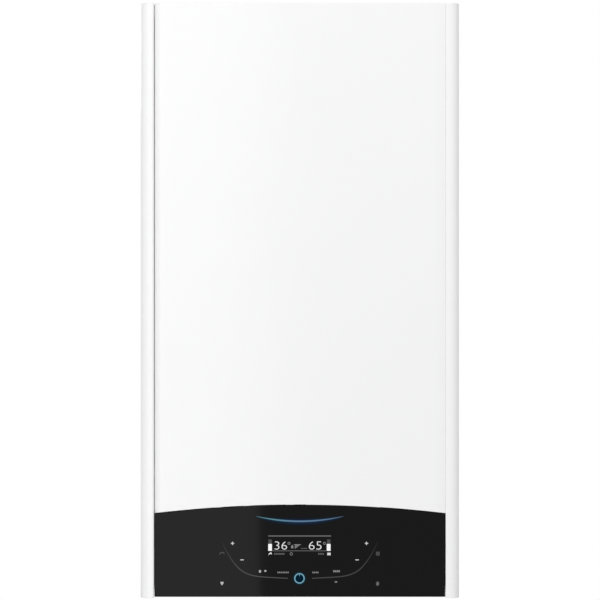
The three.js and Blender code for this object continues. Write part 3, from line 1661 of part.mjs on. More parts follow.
const sidePipeX = halfWidth - 26;
const coilSeatX = coilEndX + seatGap;

function flowPipe() {
  const crossing = vesselZ - vesselRadius - 24;
  const sideY = -vesselDepth - 22;
  const crossY = hydraulicY + 34;
  return fittedPipe(
    waterPipeRadius,
    [
      [coilSeatX, coilRearY, exchangerZ + coilRadius],
      [sidePipeX, coilRearY, exchangerZ + coilRadius],
      [sidePipeX, sideY, exchangerZ + coilRadius - 60],
      [sidePipeX, sideY, crossing + 44],
      [sidePipeX, crossY, crossing],
      [hotTailX + 40, crossY, crossing],
      [hotTailX + 40, crossY, manifoldTop + 70],
      [hotTailX + 40, hydraulicY, manifoldTop + 36],
      [hotTailX + 40, hydraulicY, manifoldTop + seatGap],
    ],
    16,
  );
}

function returnPipe() {
  const bendX = coilEndX + 30;
  return fittedPipe(
    waterPipeRadius,
    [
      [pumpSide, hydraulicY, pumpTop + seatGap],
      [pumpSide, hydraulicY, pumpTop + 50],
      [bendX, coilFrontY, exchangerZ - coilRadius - 66],
      [bendX, coilFrontY, exchangerZ - coilRadius],
      [coilSeatX, coilFrontY, exchangerZ - coilRadius],
    ],
    16,
  );
}

// Condensate

const trapTop = fanZ - 105; // under the fan
const hoseFall = 90; // the hose's straight start under the exchanger
const hoseRise = 56; // and its straight end over the trap

function condensateTrap() {
  return turnedZ(
    [
      [0, tailFoot + 6],
      [hoseRadius - 2, tailFoot + 6],
      [hoseRadius, tailFoot + 10],
      [hoseRadius, bracketTop + seatGap],
      [trapRadius - 4, bracketTop + seatGap],
      [trapRadius - 2, bracketTop + 30],
      [trapRadius, bracketTop + 32],
      [trapRadius, bracketTop + 48],
      [trapRadius - 2, bracketTop + 50],
      [trapRadius - 2, trapTop - 16],
      [hoseRadius + 2, trapTop - 8],
      [hoseRadius + 2, trapTop],
      [0, trapTop],
    ],
    -trapSide,
    -trapFromWall,
    14,
  );
}

function condensateHose() {
  const drainY = shellRear - 28;
  const top = exchangerZ - exchangerHalf - seatGap;
  return bentTube(
    circle(hoseRadius),
    [
      [0, drainY, top],
      [0, drainY, top - hoseFall],
      [-trapSide, -trapFromWall, trapTop + hoseRise],
      [-trapSide, -trapFromWall, trapTop + seatGap],
    ],
    26,
    8,
  );
}

// Assembly

const carcass = newGroup();
addPiece(carcass, 'back_frame', backFrame(), zincSteel);
addPiece(carcass, 'right_side_panel', rightSidePanel(), whitePaint);
addPiece(carcass, 'left_side_panel', mirrored(rightSidePanel()), whitePaint);
addPiece(carcass, 'top_plate', topPlate(), whitePaint);
addPiece(carcass, 'bottom_bracket', bottomBracket(), zincSteel);
addPiece(carcass, 'exchanger_hanger', exchangerHanger(), zincSteel);
addPiece(carcass, 'right_hinge_bracket', rightHingeBracket(), zincSteel);
addPiece(carcass, 'left_hinge_bracket', mirrored(rightHingeBracket()), zincSteel);
addPiece(carcass, 'right_cover_peg', coverPeg(1), zincSteel);
addPiece(carcass, 'left_cover_peg', coverPeg(-1), zincSteel);

const flue = newGroup();
addPiece(flue, 'flue_collar', flueCollar(), whitePlastic);
addPiece(flue, 'flue_pipe', fluePipe(), stainless);
addPiece(flue, 'flue_sampling_plug', samplingPlug(-1), greyPlastic);
addPiece(flue, 'air_sampling_plug', samplingPlug(1), greyPlastic);

const combustion = newGroup();
addPiece(combustion, 'exchanger_shell', exchangerShell(), stainless);
addPiece(combustion, 'exchanger_coil', exchangerCoil(), stainless);
addPiece(combustion, 'burner_door', burnerDoor(), castAluminium);
addPiece(combustion, 'burner_tube', burnerTube(), stainless);
addPiece(combustion, 'sight_glass', sightGlass(), clearGlass);
addPiece(combustion, 'ignition_electrode', ignitionElectrode(), whiteCeramic);
addPiece(combustion, 'mixture_duct', mixtureDuct(), castAluminium);
addPiece(combustion, 'fan_housing', fanHousing(), castAluminium);
addPiece(combustion, 'fan_impeller', fanImpeller(), blackPlastic);
addPiece(combustion, 'fan_motor', fanMotor(), blackPlastic);
addPiece(combustion, 'air_gas_mixer', airGasMixer(), castAluminium);
addPiece(combustion, 'air_silencer', airSilencer(), blackPlastic);
addPiece(combustion, 'gas_valve', gasValve(), castAluminium);
addPiece(combustion, 'gas_feed_pipe', gasFeedPipe(), copper);
addPiece(combustion, 'gas_supply_pipe', gasSupplyPipe(), copper);

const water = newGroup();
addPiece(water, 'expansion_vessel', expansionVessel(), redPaint);
addPiece(water, 'vessel_pipe', vesselPipe(), copper);
addPiece(water, 'plate_exchanger', plateExchanger(), stainless);
addPiece(water, 'flow_manifold', flowManifold(), brass);
addPiece(water, 'return_manifold', returnManifold(), brass);
addPiece(water, 'diverter_spindle', diverterSpindle(), stainless);
addPiece(water, 'diverter_motor', diverterMotor(), whitePlastic);
addPiece(water, 'safety_valve', safetyValve(), brass);
addPiece(water, 'safety_knob', safetyKnob(), redPlastic);
addPiece(water, 'pressure_sensor', pressureSensor(), greyPlastic);
addPiece(water, 'flow_turbine', flowTurbine(), bluePlastic);
addPiece(water, 'filling_knob', fillingKnob(), bluePlastic);
addPiece(water, 'drain_cock', drainCock(), blackPlastic);
addPiece(water, 'pump_housing', pumpHousing(), castIron);
addPiece(water, 'pump_motor', pumpMotor(), greyPlastic);
addPiece(water, 'pump_rotor', pumpRotor(), stainless);
addPiece(water, 'air_vent', airVent(), brass);
addPiece(water, 'flow_pipe', flowPipe(), copper);
addPiece(water, 'return_pipe', returnPipe(), copper);

const condensate = newGroup();
addPiece(condensate, 'condensate_trap', condensateTrap(), whitePlastic);
addPiece(condensate, 'condensate_hose', condensateHose(), blackRubber);

const frontCover = newGroup();
addPiece(frontCover, 'front_panel', frontPanel(), whitePaint);
addPiece(frontCover, 'right_moulding', rightMoulding(), whitePlastic);
addPiece(frontCover, 'left_moulding', mirrored(rightMoulding()), whitePlastic);
addPiece(frontCover, 'right_cover_screw', coverScrew(1), zincSteel);
addPiece(frontCover, 'left_cover_screw', coverScrew(-1), zincSteel);

const controlBox = newGroup();
addPiece(controlBox, 'control_fascia', controlFascia(), blackGloss);
addPiece(controlBox, 'control_tray', controlTray(), blackPlastic);
addPiece(controlBox, 'wiring_cover', wiringCover(), blackPlastic);
addPiece(controlBox, 'main_board', mainBoard(), circuitGreen);
addPiece(controlBox, 'display_module', displayModule(), blackPlastic);

export default boiler;
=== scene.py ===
# Wall-hung combi boiler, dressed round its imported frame. Metres, the front faces -Y, the wall side faces +Y.
import json
import math

import bmesh
import bpy
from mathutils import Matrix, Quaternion, Vector


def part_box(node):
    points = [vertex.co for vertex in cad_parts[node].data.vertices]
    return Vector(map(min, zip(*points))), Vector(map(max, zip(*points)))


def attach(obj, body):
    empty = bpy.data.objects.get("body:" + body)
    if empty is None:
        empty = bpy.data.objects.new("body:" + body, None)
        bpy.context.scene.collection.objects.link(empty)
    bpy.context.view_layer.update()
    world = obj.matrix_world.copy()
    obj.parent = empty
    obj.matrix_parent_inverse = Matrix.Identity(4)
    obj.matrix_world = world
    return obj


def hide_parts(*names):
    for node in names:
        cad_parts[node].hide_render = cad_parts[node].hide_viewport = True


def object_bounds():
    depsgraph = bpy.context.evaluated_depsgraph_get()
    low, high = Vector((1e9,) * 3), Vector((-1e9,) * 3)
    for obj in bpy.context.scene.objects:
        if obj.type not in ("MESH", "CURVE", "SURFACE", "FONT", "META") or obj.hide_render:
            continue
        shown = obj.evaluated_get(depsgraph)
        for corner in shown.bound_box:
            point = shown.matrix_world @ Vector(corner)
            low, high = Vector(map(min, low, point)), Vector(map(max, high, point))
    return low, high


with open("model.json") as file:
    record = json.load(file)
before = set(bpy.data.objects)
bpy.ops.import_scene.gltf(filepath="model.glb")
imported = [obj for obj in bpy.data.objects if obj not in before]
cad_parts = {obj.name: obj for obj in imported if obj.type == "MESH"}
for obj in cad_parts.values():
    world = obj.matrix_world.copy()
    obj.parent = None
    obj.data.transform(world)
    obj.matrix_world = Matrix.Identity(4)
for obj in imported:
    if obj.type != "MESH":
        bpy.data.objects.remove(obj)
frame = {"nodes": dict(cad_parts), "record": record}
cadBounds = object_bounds()
nodes = frame["nodes"]
bodyOf = {node: body for body, names in frame["record"]["behaviour"]["bodies"].items() for node in names}
slotOf = {part["node"]: part["material_slot"] for part in frame["record"]["subparts"]}
mm = 0.001
foot = cadBounds[0].z  # the casing's lower edge; heights below are counted from it


# ---- Materials

def newMaterial(name, color, roughness, metallic=0.0, specular=0.5, coat=0.0):
    material = bpy.data.materials.new(name)
    material.use_nodes = True
    shader = material.node_tree.nodes["Principled BSDF"]
    shader.inputs["Base Color"].default_value = (*color, 1)
    shader.inputs["Roughness"].default_value = roughness
    shader.inputs["Metallic"].default_value = metallic
    shader.inputs["Specular IOR Level"].default_value = specular
    shader.inputs["Coat Weight"].default_value = coat
    shader.inputs["Coat Roughness"].default_value = 0.05
    return material, shader


def addNode(material, kind, **values):
    node = material.node_tree.nodes.new(kind)
    for name, value in values.items():
        if name in node.inputs:
            node.inputs[name].default_value = value
        else:
            setattr(node, name, value)
    return node


def link(material, fromSocket, toSocket):
    material.node_tree.links.new(fromSocket, toSocket)


def objectNoise(material, scale, detail=2.0, stretch=(1, 1, 1)):
    place = addNode(material, "ShaderNodeTexCoord")
    mapping = addNode(material, "ShaderNodeMapping", Scale=stretch)
    noise = addNode(material, "ShaderNodeTexNoise", Scale=scale, Detail=detail)
    link(material, place.outputs["Object"], mapping.inputs["Vector"])
    link(material, mapping.outputs["Vector"], noise.inputs["Vector"])
    return noise.outputs["Fac"]


def mapRange(material, source, low, high, fromLow=0.3, fromHigh=0.7):
    node = addNode(material, "ShaderNodeMapRange")
    node.inputs["From Min"].default_value = fromLow
    node.inputs["From Max"].default_value = fromHigh
    node.inputs["To Min"].default_value = low
    node.inputs["To Max"].default_value = high
    link(material, source, node.inputs["Value"])
    return node.outputs["Result"]


def mixColors(material, factor, first, second):
    node = addNode(material, "ShaderNodeMix", data_type="RGBA")
    for socket, value in (("A", first), ("B", second)):
        target = next(s for s in node.inputs if s.name == socket and s.type == "RGBA")
        target.default_value = (*value, 1)
    link(material, factor, node.inputs["Factor"])
    return next(s for s in node.outputs if s.type == "RGBA")


def bump(material, shader, height, strength, distance):
    node = addNode(material, "ShaderNodeBump", Strength=strength, Distance=distance)
    link(material, height, node.inputs["Height"])
    link(material, node.outputs["Normal"], shader.inputs["Normal"])


def paintMaterial(name, color, roughness=0.12, peel=0.04):
    material, shader = newMaterial(name, color, roughness)
    fine = objectNoise(material, 260, 1.5)
    link(material, mapRange(material, objectNoise(material, 18), roughness * 0.85, roughness * 1.15),
         shader.inputs["Roughness"])
    bump(material, shader, fine, peel, 0.0002)
    return material


def sheetMetal(name, color, dark, roughness, scale=55, metallic=1.0):
    material, shader = newMaterial(name, color, roughness, metallic)
    flakes = objectNoise(material, scale, 4)
    link(material, mixColors(material, mapRange(material, flakes, 0, 1), dark, color), shader.inputs["Base Color"])
    link(material, mapRange(material, objectNoise(material, scale * 2.5), roughness * 0.8, roughness * 1.25),
         shader.inputs["Roughness"])
    bump(material, shader, flakes, 0.05, 0.0002)
    return material


def brushedMetal(name, color, dark, roughness, stretch):
    material, shader = newMaterial(name, color, roughness, 1.0)
    streaks = objectNoise(material, 400, 3, stretch)
    link(material, mixColors(material, mapRange(material, streaks, 0, 1), dark, color), shader.inputs["Base Color"])
    link(material, mapRange(material, streaks, roughness * 0.7, roughness * 1.3), shader.inputs["Roughness"])
    bump(material, shader, streaks, 0.06, 0.0001)
    return material


def castMetal(name, color, dark, roughness, grain=700, metallic=1.0, depth=0.0003):
    material, shader = newMaterial(name, color, roughness, metallic)
    blotch = objectNoise(material, 30, 4)
    link(material, mixColors(material, mapRange(material, blotch, 0, 1), dark, color), shader.inputs["Base Color"])
    link(material, mapRange(material, blotch, roughness * 0.85, roughness * 1.2), shader.inputs["Roughness"])
    bump(material, shader, objectNoise(material, grain, 2), 0.35, depth)
    return material


def plasticMaterial(name, color, roughness, grain=900, depth=0.0001, strength=0.2):
    material, shader = newMaterial(name, color, roughness)
    link(material, mapRange(material, objectNoise(material, 40), roughness * 0.9, roughness * 1.12),
         shader.inputs["Roughness"])
    bump(material, shader, objectNoise(material, grain, 1), strength, depth)
    return material


def glowMaterial(name, color, faded=False, otherColor=None, spread=None, specular=0.095):
    # Lit through the gloss plate; a faded one takes its strength from the mesh.
    material, shader = newMaterial(name, (0.001, 0.001, 0.0011), 0.035, specular=specular)
    shader.inputs["Emission Color"].default_value = (*color, 1)
    shader.inputs["Emission Strength"].default_value = 1.0
    if faded:
        share = addNode(material, "ShaderNodeAttribute", attribute_name="glow")
        link(material, share.outputs["Fac"], shader.inputs["Emission Strength"])
    if otherColor:
        place = addNode(material, "ShaderNodeTexCoord")
        axes = addNode(material, "ShaderNodeSeparateXYZ")
        link(material, place.outputs["Object"], axes.inputs[0])
        across = mapRange(material, axes.outputs["X"], 0, 1, *spread)
        link(material, mixColors(material, across, color, otherColor), shader.inputs["Emission Color"])
    return material


whiteSteel = paintMaterial("whiteSteel", (0.91, 0.91, 0.912))
whiteMoulded = paintMaterial("whiteMoulded", (0.915, 0.915, 0.917), 0.16, 0.02)
zincSheet = sheetMetal("zincSheet", (0.60, 0.612, 0.625), (0.50, 0.513, 0.528), 0.38, 110)
stainlessSheet = brushedMetal("stainlessSheet", (0.66, 0.665, 0.67), (0.50, 0.505, 0.51), 0.3, (1, 1, 0.03))
castAlloy = castMetal("castAlloy", (0.62, 0.625, 0.63), (0.50, 0.505, 0.515), 0.5)
turnedBrass = castMetal("turnedBrass", (0.70, 0.52, 0.27), (0.55, 0.38, 0.18), 0.3, 500)
drawnCopper = castMetal("drawnCopper", (0.74, 0.42, 0.28), (0.55, 0.27, 0.16), 0.26, 300, depth=0.0001)
castIron = castMetal("castIron", (0.035, 0.037, 0.04), (0.02, 0.021, 0.023), 0.55, 600, 0.3)
blackGloss = newMaterial("blackGloss", (0.0032, 0.0032, 0.0034), 0.035, specular=0.095)[0]
blackMoulded = plasticMaterial("blackMoulded", (0.018, 0.018, 0.02), 0.5)
greyMoulded = plasticMaterial("greyMoulded", (0.22, 0.23, 0.245), 0.5)
hoseRubber = plasticMaterial("hoseRubber", (0.015, 0.015, 0.016), 0.7)
redEnamel = paintMaterial("redEnamel", (0.50, 0.028, 0.018), 0.28, 0.12)
redMoulded = plasticMaterial("redMoulded", (0.58, 0.03, 0.02), 0.4)
blueMoulded = plasticMaterial("blueMoulded", (0.02, 0.10, 0.42), 0.4)
circuitBoard = plasticMaterial("circuitBoard", (0.012, 0.09, 0.04), 0.35)
insulator = plasticMaterial("insulator", (0.85, 0.82, 0.74), 0.2)
sightPane = newMaterial("sightPane", (0.10, 0.06, 0.03), 0.04, coat=0.5)[0]
litWhite = glowMaterial("litWhite", (0.95, 0.95, 0.96))
litDigit = glowMaterial("litDigit", (0.78, 0.78, 0.79))
litKey = glowMaterial("litKey", (0.62, 0.62, 0.62))
litGrey = glowMaterial("litGrey", (0.13, 0.13, 0.135))
litDim = glowMaterial("litDim", (0.075, 0.075, 0.078))
litWord = glowMaterial("litWord", (0.24, 0.24, 0.245))
litLeaf = glowMaterial("litLeaf", (0.45, 0.45, 0.45))
litLine = glowMaterial("litLine", (0.062, 0.062, 0.065), True)
arcCore = glowMaterial("arcCore", (0.13, 0.32, 0.38), True, (0.115, 0.215, 0.355), (-0.035, -0.005))
arcHalo = glowMaterial("arcHalo", (0.0, 0.018, 0.055), True)
keyRing = glowMaterial("keyRing", (0.17, 0.37, 0.47))
keyHalo = glowMaterial("keyHalo", (0.0, 0.030, 0.055), True)
keyDisc = glowMaterial("keyDisc", (0.0, 0.013, 0.033), specular=0.01)

materialOf = {
    "white_paint": whiteSteel,
    "white_plastic": whiteMoulded,
    "zinc_steel": zincSheet,
    "stainless": stainlessSheet,
    "cast_aluminium": castAlloy,
    "brass": turnedBrass,
    "copper": drawnCopper,
    "cast_iron": castIron,
    "black_gloss": blackGloss,
    "black_plastic": blackMoulded,
    "grey_plastic": greyMoulded,
    "black_rubber": hoseRubber,
    "red_paint": redEnamel,
    "red_plastic": redMoulded,
    "blue_plastic": blueMoulded,
    "circuit": circuitBoard,
    "clear_glass": sightPane,
    "white_ceramic": insulator,
}
for node, cadObject in nodes.items():
    cadObject.data.materials.clear()
    cadObject.data.materials.append(materialOf[slotOf[node]])
print("materials made:", len(bpy.data.materials))


# ---- Mesh tools

def newObject(name, mesh, material):
    piece = bpy.data.objects.new(name, mesh)
    bpy.context.scene.collection.objects.link(piece)
    if material:
        mesh.materials.clear()
        mesh.materials.append(material)
    return piece


def meshFrom(name, points, faces, material):
    mesh = bpy.data.meshes.new(name)
    mesh.from_pydata([tuple(p) for p in points], [], faces)
    shape = bmesh.new()
    shape.from_mesh(mesh)
    bmesh.ops.remove_doubles(shape, verts=shape.verts, dist=1e-6)
    bmesh.ops.recalc_face_normals(shape, faces=shape.faces)
    shape.to_mesh(mesh)
    shape.free()
    return newObject(name, mesh, material)


def baked(piece):
    # The evaluated mesh takes the place of the modifiers.
    evaluated = piece.evaluated_get(bpy.context.evaluated_depsgraph_get())
    mesh = bpy.data.meshes.new_from_object(evaluated)
    piece.modifiers.clear()
    piece.data = mesh
    return piece


def softEdges(piece, width, segments=2, angle=30):
    bevel = piece.modifiers.new("edges", "BEVEL")
    bevel.width = width
    bevel.segments = segments
    bevel.limit_method = "ANGLE"
    bevel.angle_limit = math.radians(angle)
    bevel.harden_normals = False
    baked(piece)
    piece.data.shade_smooth()
    piece.data.set_sharp_from_angle(angle=math.radians(40))
    weighted = piece.modifiers.new("normals", "WEIGHTED_NORMAL")
    weighted.keep_sharp = True
    return baked(piece)


def cadCopy(node, name, edge=0.0004):
    # A CAD sheet or housing with its edges broken, in its own place.
    mesh = nodes[node].data.copy()
    shape = bmesh.new()
    shape.from_mesh(mesh)
    bmesh.ops.remove_doubles(shape, verts=shape.verts, dist=1e-6)
    bmesh.ops.dissolve_limit(shape, angle_limit=math.radians(1), verts=shape.verts, edges=shape.edges)
    shape.to_mesh(mesh)
    shape.free()
    piece = newObject(name, mesh, materialOf[slotOf[node]])
    softEdges(piece, edge)
    return settle(piece, node)


def settle(piece, *replaced, body=None, slot=None):
    node = replaced[0] if replaced else None
    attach(piece, body or bodyOf[node])
    if replaced:
        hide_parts(*replaced)
    return piece


# ---- Casing front

def nodeBox(node):
    low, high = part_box(node)
    return Vector(low), Vector(high)


frontPanel = {
    "softWidth": 15 * mm,  # the face falls back over this width along both sides
    "softDrop": 2.0 * mm,
    "leftRoll": 9 * mm,  # and further back beside the left moulding
    "leftRollDrop": 2.8 * mm,
    "jointStep": 0.5 * mm,
    "jointDepth": 0.1 * mm,
    "returnDepth": 20 * mm,
    "edge": 0.9 * mm,
    "sheet": 1.0 * mm,
    "columns": 40,
    "rows": 12,
    "sideSteps": 14,
}
# The flap behind the lid, in millimetres, with the holes that take the pegs.
panelFlap = {"half": 180, "foot": 707, "top": 744.4, "sheet": 1, "hole": 4.4, "pitch": 240, "holeHeight": 720}


def edgeArc(half, corner, middle):
    # Height of a curved edge over x, through its corners and its middle.
    rise = middle - corner
    radius = (half ** 2 + rise ** 2) / (2 * rise)
    return lambda x: middle - radius + math.sqrt(radius ** 2 - x ** 2)


def extremeHeight(node, xTest, tolerance, pick=min):
    # Lowest or highest of the CAD node's vertices at about one distance from the middle.
    return pick(v.co.z for v in nodes[node].data.vertices if abs(abs(v.co.x) - xTest) < tolerance)


def thickened(piece, wall):
    solid = piece.modifiers.new("wall", "SOLIDIFY")
    solid.thickness = wall
    solid.offset = -1
    solid.use_even_offset = True
    return baked(piece)


def prismFaces(count):
    sides = [(i, (i + 1) % count, count + (i + 1) % count, count + i) for i in range(count)]
    return [tuple(range(count)), tuple(range(2 * count - 1, count - 1, -1)), *sides]


def makeFrontPanel():
    low, high = nodeBox("front_panel")
    half = high.x
    arc = edgeArc(half, extremeHeight("front_panel", half, 1e-4), extremeHeight("front_panel", 0, 0.02))
    soft, drop, steps = (frontPanel[k] for k in ("softWidth", "softDrop", "sideSteps"))
    columns, rows = frontPanel["columns"], frontPanel["rows"]
    flat = half - soft
    xs = [half - soft * (i / steps) ** 1.6 for i in range(steps + 1)]
    xs += [flat * (1 - 2 * i / columns) for i in range(1, columns)]
    xs += [-x for x in xs[:steps + 1][::-1]]

    def depth(x):
        over = max(0.0, abs(x) - flat) / soft
        roll = max(0.0, -x - half + frontPanel["leftRoll"]) / frontPanel["leftRoll"]
        return low.y + drop * over ** 2 + frontPanel["leftRollDrop"] * roll ** 2.5

    points = [(x, depth(x), arc(x) + (high.z - arc(x)) * (row / rows)) for row in range(rows + 1) for x in xs]
    faces = []

    def strips(rings):
        for near, far in zip(rings, rings[1:]):
            faces.extend((near[i], near[i + 1], far[i + 1], far[i]) for i in range(len(near) - 1))

    def folded(border, *turns):
        # From a border to each following depth, moved aside by so much.
        rings = [border]
        for y, aside in turns:
            rings.append(list(range(len(points), len(points) + len(border))))
            points.extend([(points[i][0] + aside, y, points[i][2]) for i in border])
        strips(rings)

    grid = [[row * len(xs) + column for column in range(len(xs))] for row in range(rows + 1)]
    strips(grid)
    # Returns along both sides and the lid along the top; the curved edge is the bare sheet. A step in the return
    # on the right closes the joint to the moulding from behind.
    returnBack = low.y + frontPanel["returnDepth"]
    shelf, step = low.y + drop + frontPanel["jointDepth"], frontPanel["jointStep"]
    folded([line[-1] for line in grid], (returnBack, 0))
    folded([line[0] for line in grid], (shelf, 0), (shelf, step), (returnBack, step))
    folded(grid[-1], (high.y, 0))
    panel = meshFrom("frontPanel", points, faces, whiteSteel)
    facesOut(panel, Vector((0, low.y - 1, high.z)))
    softEdges(thickened(panel, frontPanel["sheet"]), frontPanel["edge"], 3, 50)
    rear = high.y / mm
    outline = bar(-panelFlap["half"], panelFlap["half"], panelFlap["foot"], panelFlap["top"])
    flap = plate("flap", outline, rear - panelFlap["sheet"], rear, whiteSteel, 0.3)
    for side in (-1, 1):
        middle = (side * panelFlap["pitch"] / 2, 0, panelFlap["holeHeight"])
        cut(flap, hole(panelFlap["hole"], rear - 4, rear + 3, middle, "y", 36))
    return settle(joinedPieces(panel, flap), "front_panel")


def facesOut(piece, seenFrom):
    # An open sheet whose faces look the wrong way is turned.
    mesh = piece.data
    towards = sum((f.normal.dot(seenFrom - f.center) * f.area for f in mesh.polygons if abs(f.normal.y) > 0.9), 0.0)
    if towards < 0:
        mesh.flip_normals()


sideMoulding = {
    "flat": 3 * mm,
    "drop": 16 * mm,
    "wall": 2.5 * mm,
    "lip": 24 * mm,
    "innerRound": {1: 0.9 * mm, -1: 2.0 * mm},
    "fullness": 0.8,  # below one, the quarter bulges out of the ellipse
    "arcSteps": 20,
    "edge": 0.7 * mm,
}


def makeMoulding(side, name, node):
    low, high = nodeBox(node)
    inner, outer = sorted((abs(low.x), abs(high.x)))
    wall, drop, lip, full, steps = (sideMoulding[k] for k in ("wall", "drop", "lip", "fullness", "arcSteps"))
    bend, soft = inner + sideMoulding["flat"], sideMoulding["innerRound"][side]
    front, back = low.y, high.y

    def quarter(inset):
        wide, deep = outer - bend - inset, drop - inset
        turn = [math.pi / 2 * i / steps for i in range(steps + 1)]
        return [(bend + wide * math.sin(a) ** full, front + drop - deep * math.cos(a) ** full) for a in turn]

    turn = [math.pi / 12 * i for i in range(7)]
    rounding = [(inner + soft - soft * math.cos(a), front + soft - soft * math.sin(a)) for a in turn]
    section = [*rounding, *quarter(0), (outer, back), (outer - wall, back), *quarter(wall)[::-1]]
    section += [(inner + wall, front + wall), (inner + wall, front + lip), (inner, front + lip)]
    lid = [(inner, back), *rounding, *quarter(0), (outer, back)]
    pieces = []
    for part, outline, bottom, top in (("", section, low.z, high.z - wall), ("cap", lid, high.z - wall, high.z)):
        points = [(side * x, y, z) for z in (bottom, top) for x, y in outline]
        pieces.append(meshFrom(name + part, points, prismFaces(len(outline)), whiteMoulded))
    return settle(softEdges(merged(*pieces), sideMoulding["edge"], 3, 50), node)


# ---- Control fascia

fascia = {
    "edge": 0.8 * mm,
    "wall": 2.4 * mm,
    "rim": 12 * mm,
    "arcSteps": 48,
    "markLift": 0.05 * mm,
}
fasciaLow, fasciaHigh = nodeBox("control_fascia")
fasciaFace = fasciaLow.y


def makeFascia():
    half, steps = fasciaHigh.x, fascia["arcSteps"]
    arc = edgeArc(half, extremeHeight("control_fascia", half, 1e-4, max), fasciaHigh.z)
    xs = [half - 2 * half * i / steps for i in range(steps + 1)]
    outline = [(-half, fasciaLow.z), (half, fasciaLow.z)] + [(x, arc(x)) for x in xs]
    points = [(x, y, z) for y in (fasciaFace, fasciaFace + fascia["rim"]) for x, z in outline]
    front, _, *sides = prismFaces(len(outline))
    pane = meshFrom("fasciaPlate", points, [front, *sides], blackGloss)
    facesOut(pane, Vector((0, fasciaFace - 1, fasciaLow.z)))
    return settle(softEdges(thickened(pane, fascia["wall"]), fascia["edge"], 3, 50), "control_fascia")


def printed(name, material, strips=(), plates=(), lift=0.0):
    # Thin marks on the gloss plate. A strip runs through stations of x, height, width and glow; a plate is an
    # outline of x and height. Both are in millimetres from the middle of the casing's lower edge.
    points, faces, glow = [], [], []
    back = fasciaFace + 0.02 * mm
    front = fasciaFace - fascia["markLift"] - lift

    def add(x, z, strength):
        for y in (front, back):
            points.append((x * mm, y, foot + z * mm))
            glow.append(strength)
        return len(points) - 2

    for strip in strips:
        loop = len(strip) > 3 and strip[0][:2] == strip[-1][:2]
        stations = strip[:-1] if loop else strip
        count = len(stations)
        rows = []
        for i, (x, z, width, strength) in enumerate(stations):
            before = stations[i - 1] if i or loop else stations[i]
            after = stations[(i + 1) % count] if i + 1 < count or loop else stations[i]
            across = Vector((before[1] - after[1], after[0] - before[0])).normalized() * width / 2
            core, rim = strength if isinstance(strength, tuple) else (strength, strength)
            ends = [add(x - across.x, z - across.y, rim)]
            if core != rim:
                ends.append(add(x, z, core))
            ends.append(add(x + across.x, z + across.y, rim))
            rows.append(ends)
        pairs = list(zip(rows, rows[1:])) + ([(rows[-1], rows[0])] if loop else [])
        for near, far in pairs:
            for a, b, c, d in zip(near, near[1:], far[1:], far):
                faces += [(a, b, c, d), (d + 1, c + 1, b + 1, a + 1)]
            for a, b in ((near[0], far[0]), (far[-1], near[-1])):
                faces.append((a, b, b + 1, a + 1))
        for end in () if loop else (rows[0], rows[-1]):
            faces += [(a, b, b + 1, a + 1) for a, b in zip(end, end[1:])]
    for plate in plates:
        ends = [add(x, z, 1.0) for x, z in plate]
        faces += [tuple(ends), tuple(i + 1 for i in reversed(ends))]
        faces += [(a, b, b + 1, a + 1) for a, b in zip(ends, ends[1:] + ends[:1])]
    mesh = bpy.data.meshes.new(name)
    mesh.from_pydata(points, [], faces)
    strengths = mesh.attributes.new("glow", "FLOAT", "POINT")
    strengths.data.foreach_set("value", glow)
    shape = bmesh.new()
    shape.from_mesh(mesh)
    bmesh.ops.recalc_face_normals(shape, faces=shape.faces)
    shape.to_mesh(mesh)
    shape.free()
    piece = newObject(name, mesh, material)
    return settle(piece, body="control_box", slot=slotOf["display_module"])


def digits(name, text, left, bottom, width, height, material):
    # Plain numbers in Blender's own font, made a little lighter.
    line = bpy.data.curves.new(name, "FONT")
    line.body = text
    line.offset = -0.014
    line.resolution_u = 4
    line.extrude = 0.004
    writing = bpy.data.objects.new(name, line)
    bpy.context.scene.collection.objects.link(writing)
    bpy.context.view_layer.update()
    mesh = bpy.data.meshes.new_from_object(writing.evaluated_get(bpy.context.evaluated_depsgraph_get()))
    bpy.data.objects.remove(writing)
    low = [min(v.co[axis] for v in mesh.vertices) for axis in range(3)]
    wide, tall, deep = (max(v.co[axis] for v in mesh.vertices) - low[axis] for axis in range(3))
    for v in mesh.vertices:
        across, up, out = ((v.co[axis] - low[axis]) / size for axis, size in enumerate((wide, tall, deep)))
        lift = fascia["markLift"] * (1.4 * out - 0.4)
        v.co = ((left + across * width) * mm, fasciaFace - lift, foot + (bottom + up * height) * mm)
    piece = newObject(name, mesh, material)
    return settle(piece, body="control_box", slot=slotOf["display_module"])


def bar(left, right, bottom, top):
    return [(left, bottom), (right, bottom), (right, top), (left, top)]


def circleStations(x, z, radius, width, glow=1.0, start=0, end=360, steps=48):
    turn = [math.radians(start + (end - start) * i / steps) for i in range(steps + 1)]
    ring = [(x + radius * math.cos(a), z + radius * math.sin(a), width, glow) for a in turn]
    if end - start == 360:
        ring[-1] = ring[0]
    return ring


def smoothPath(corners, steps=6):
    # Catmull-Rom points through the corners.
    path = []
    for i in range(len(corners) - 1):
        a, b, c, d = (Vector(corners[max(0, min(len(corners) - 1, i + k))]) for k in (-1, 0, 1, 2))
        for step in range(steps):
            t = step / steps
            path.append(0.5 * (2 * b + (c - a) * t + (2 * a - 5 * b + 4 * c - d) * t ** 2
                               + (3 * b - 3 * c + d - a) * t ** 3))
    path.append(Vector(corners[-1]))
    return path


marks = {
    "arcHalf": 54.7,
    "arcEnds": 102.5,
    "arcSag": 6.3,
    "arcWidth": 2.3,
    "key": (-0.5, 24.7),
    "keyRadius": 5.85,
    "guide": [(97.5, 72.0), (94.2, 63.4), (87.6, 51.6), (81.0, 42.3), (73.1, 34.5), (64.0, 29.8), (54.8, 27.5),
              (41.7, 26.2), (15.1, 24.8)],
    "plus": (83.9, 68.6),
    "minus": (72.0, 47.9),
}


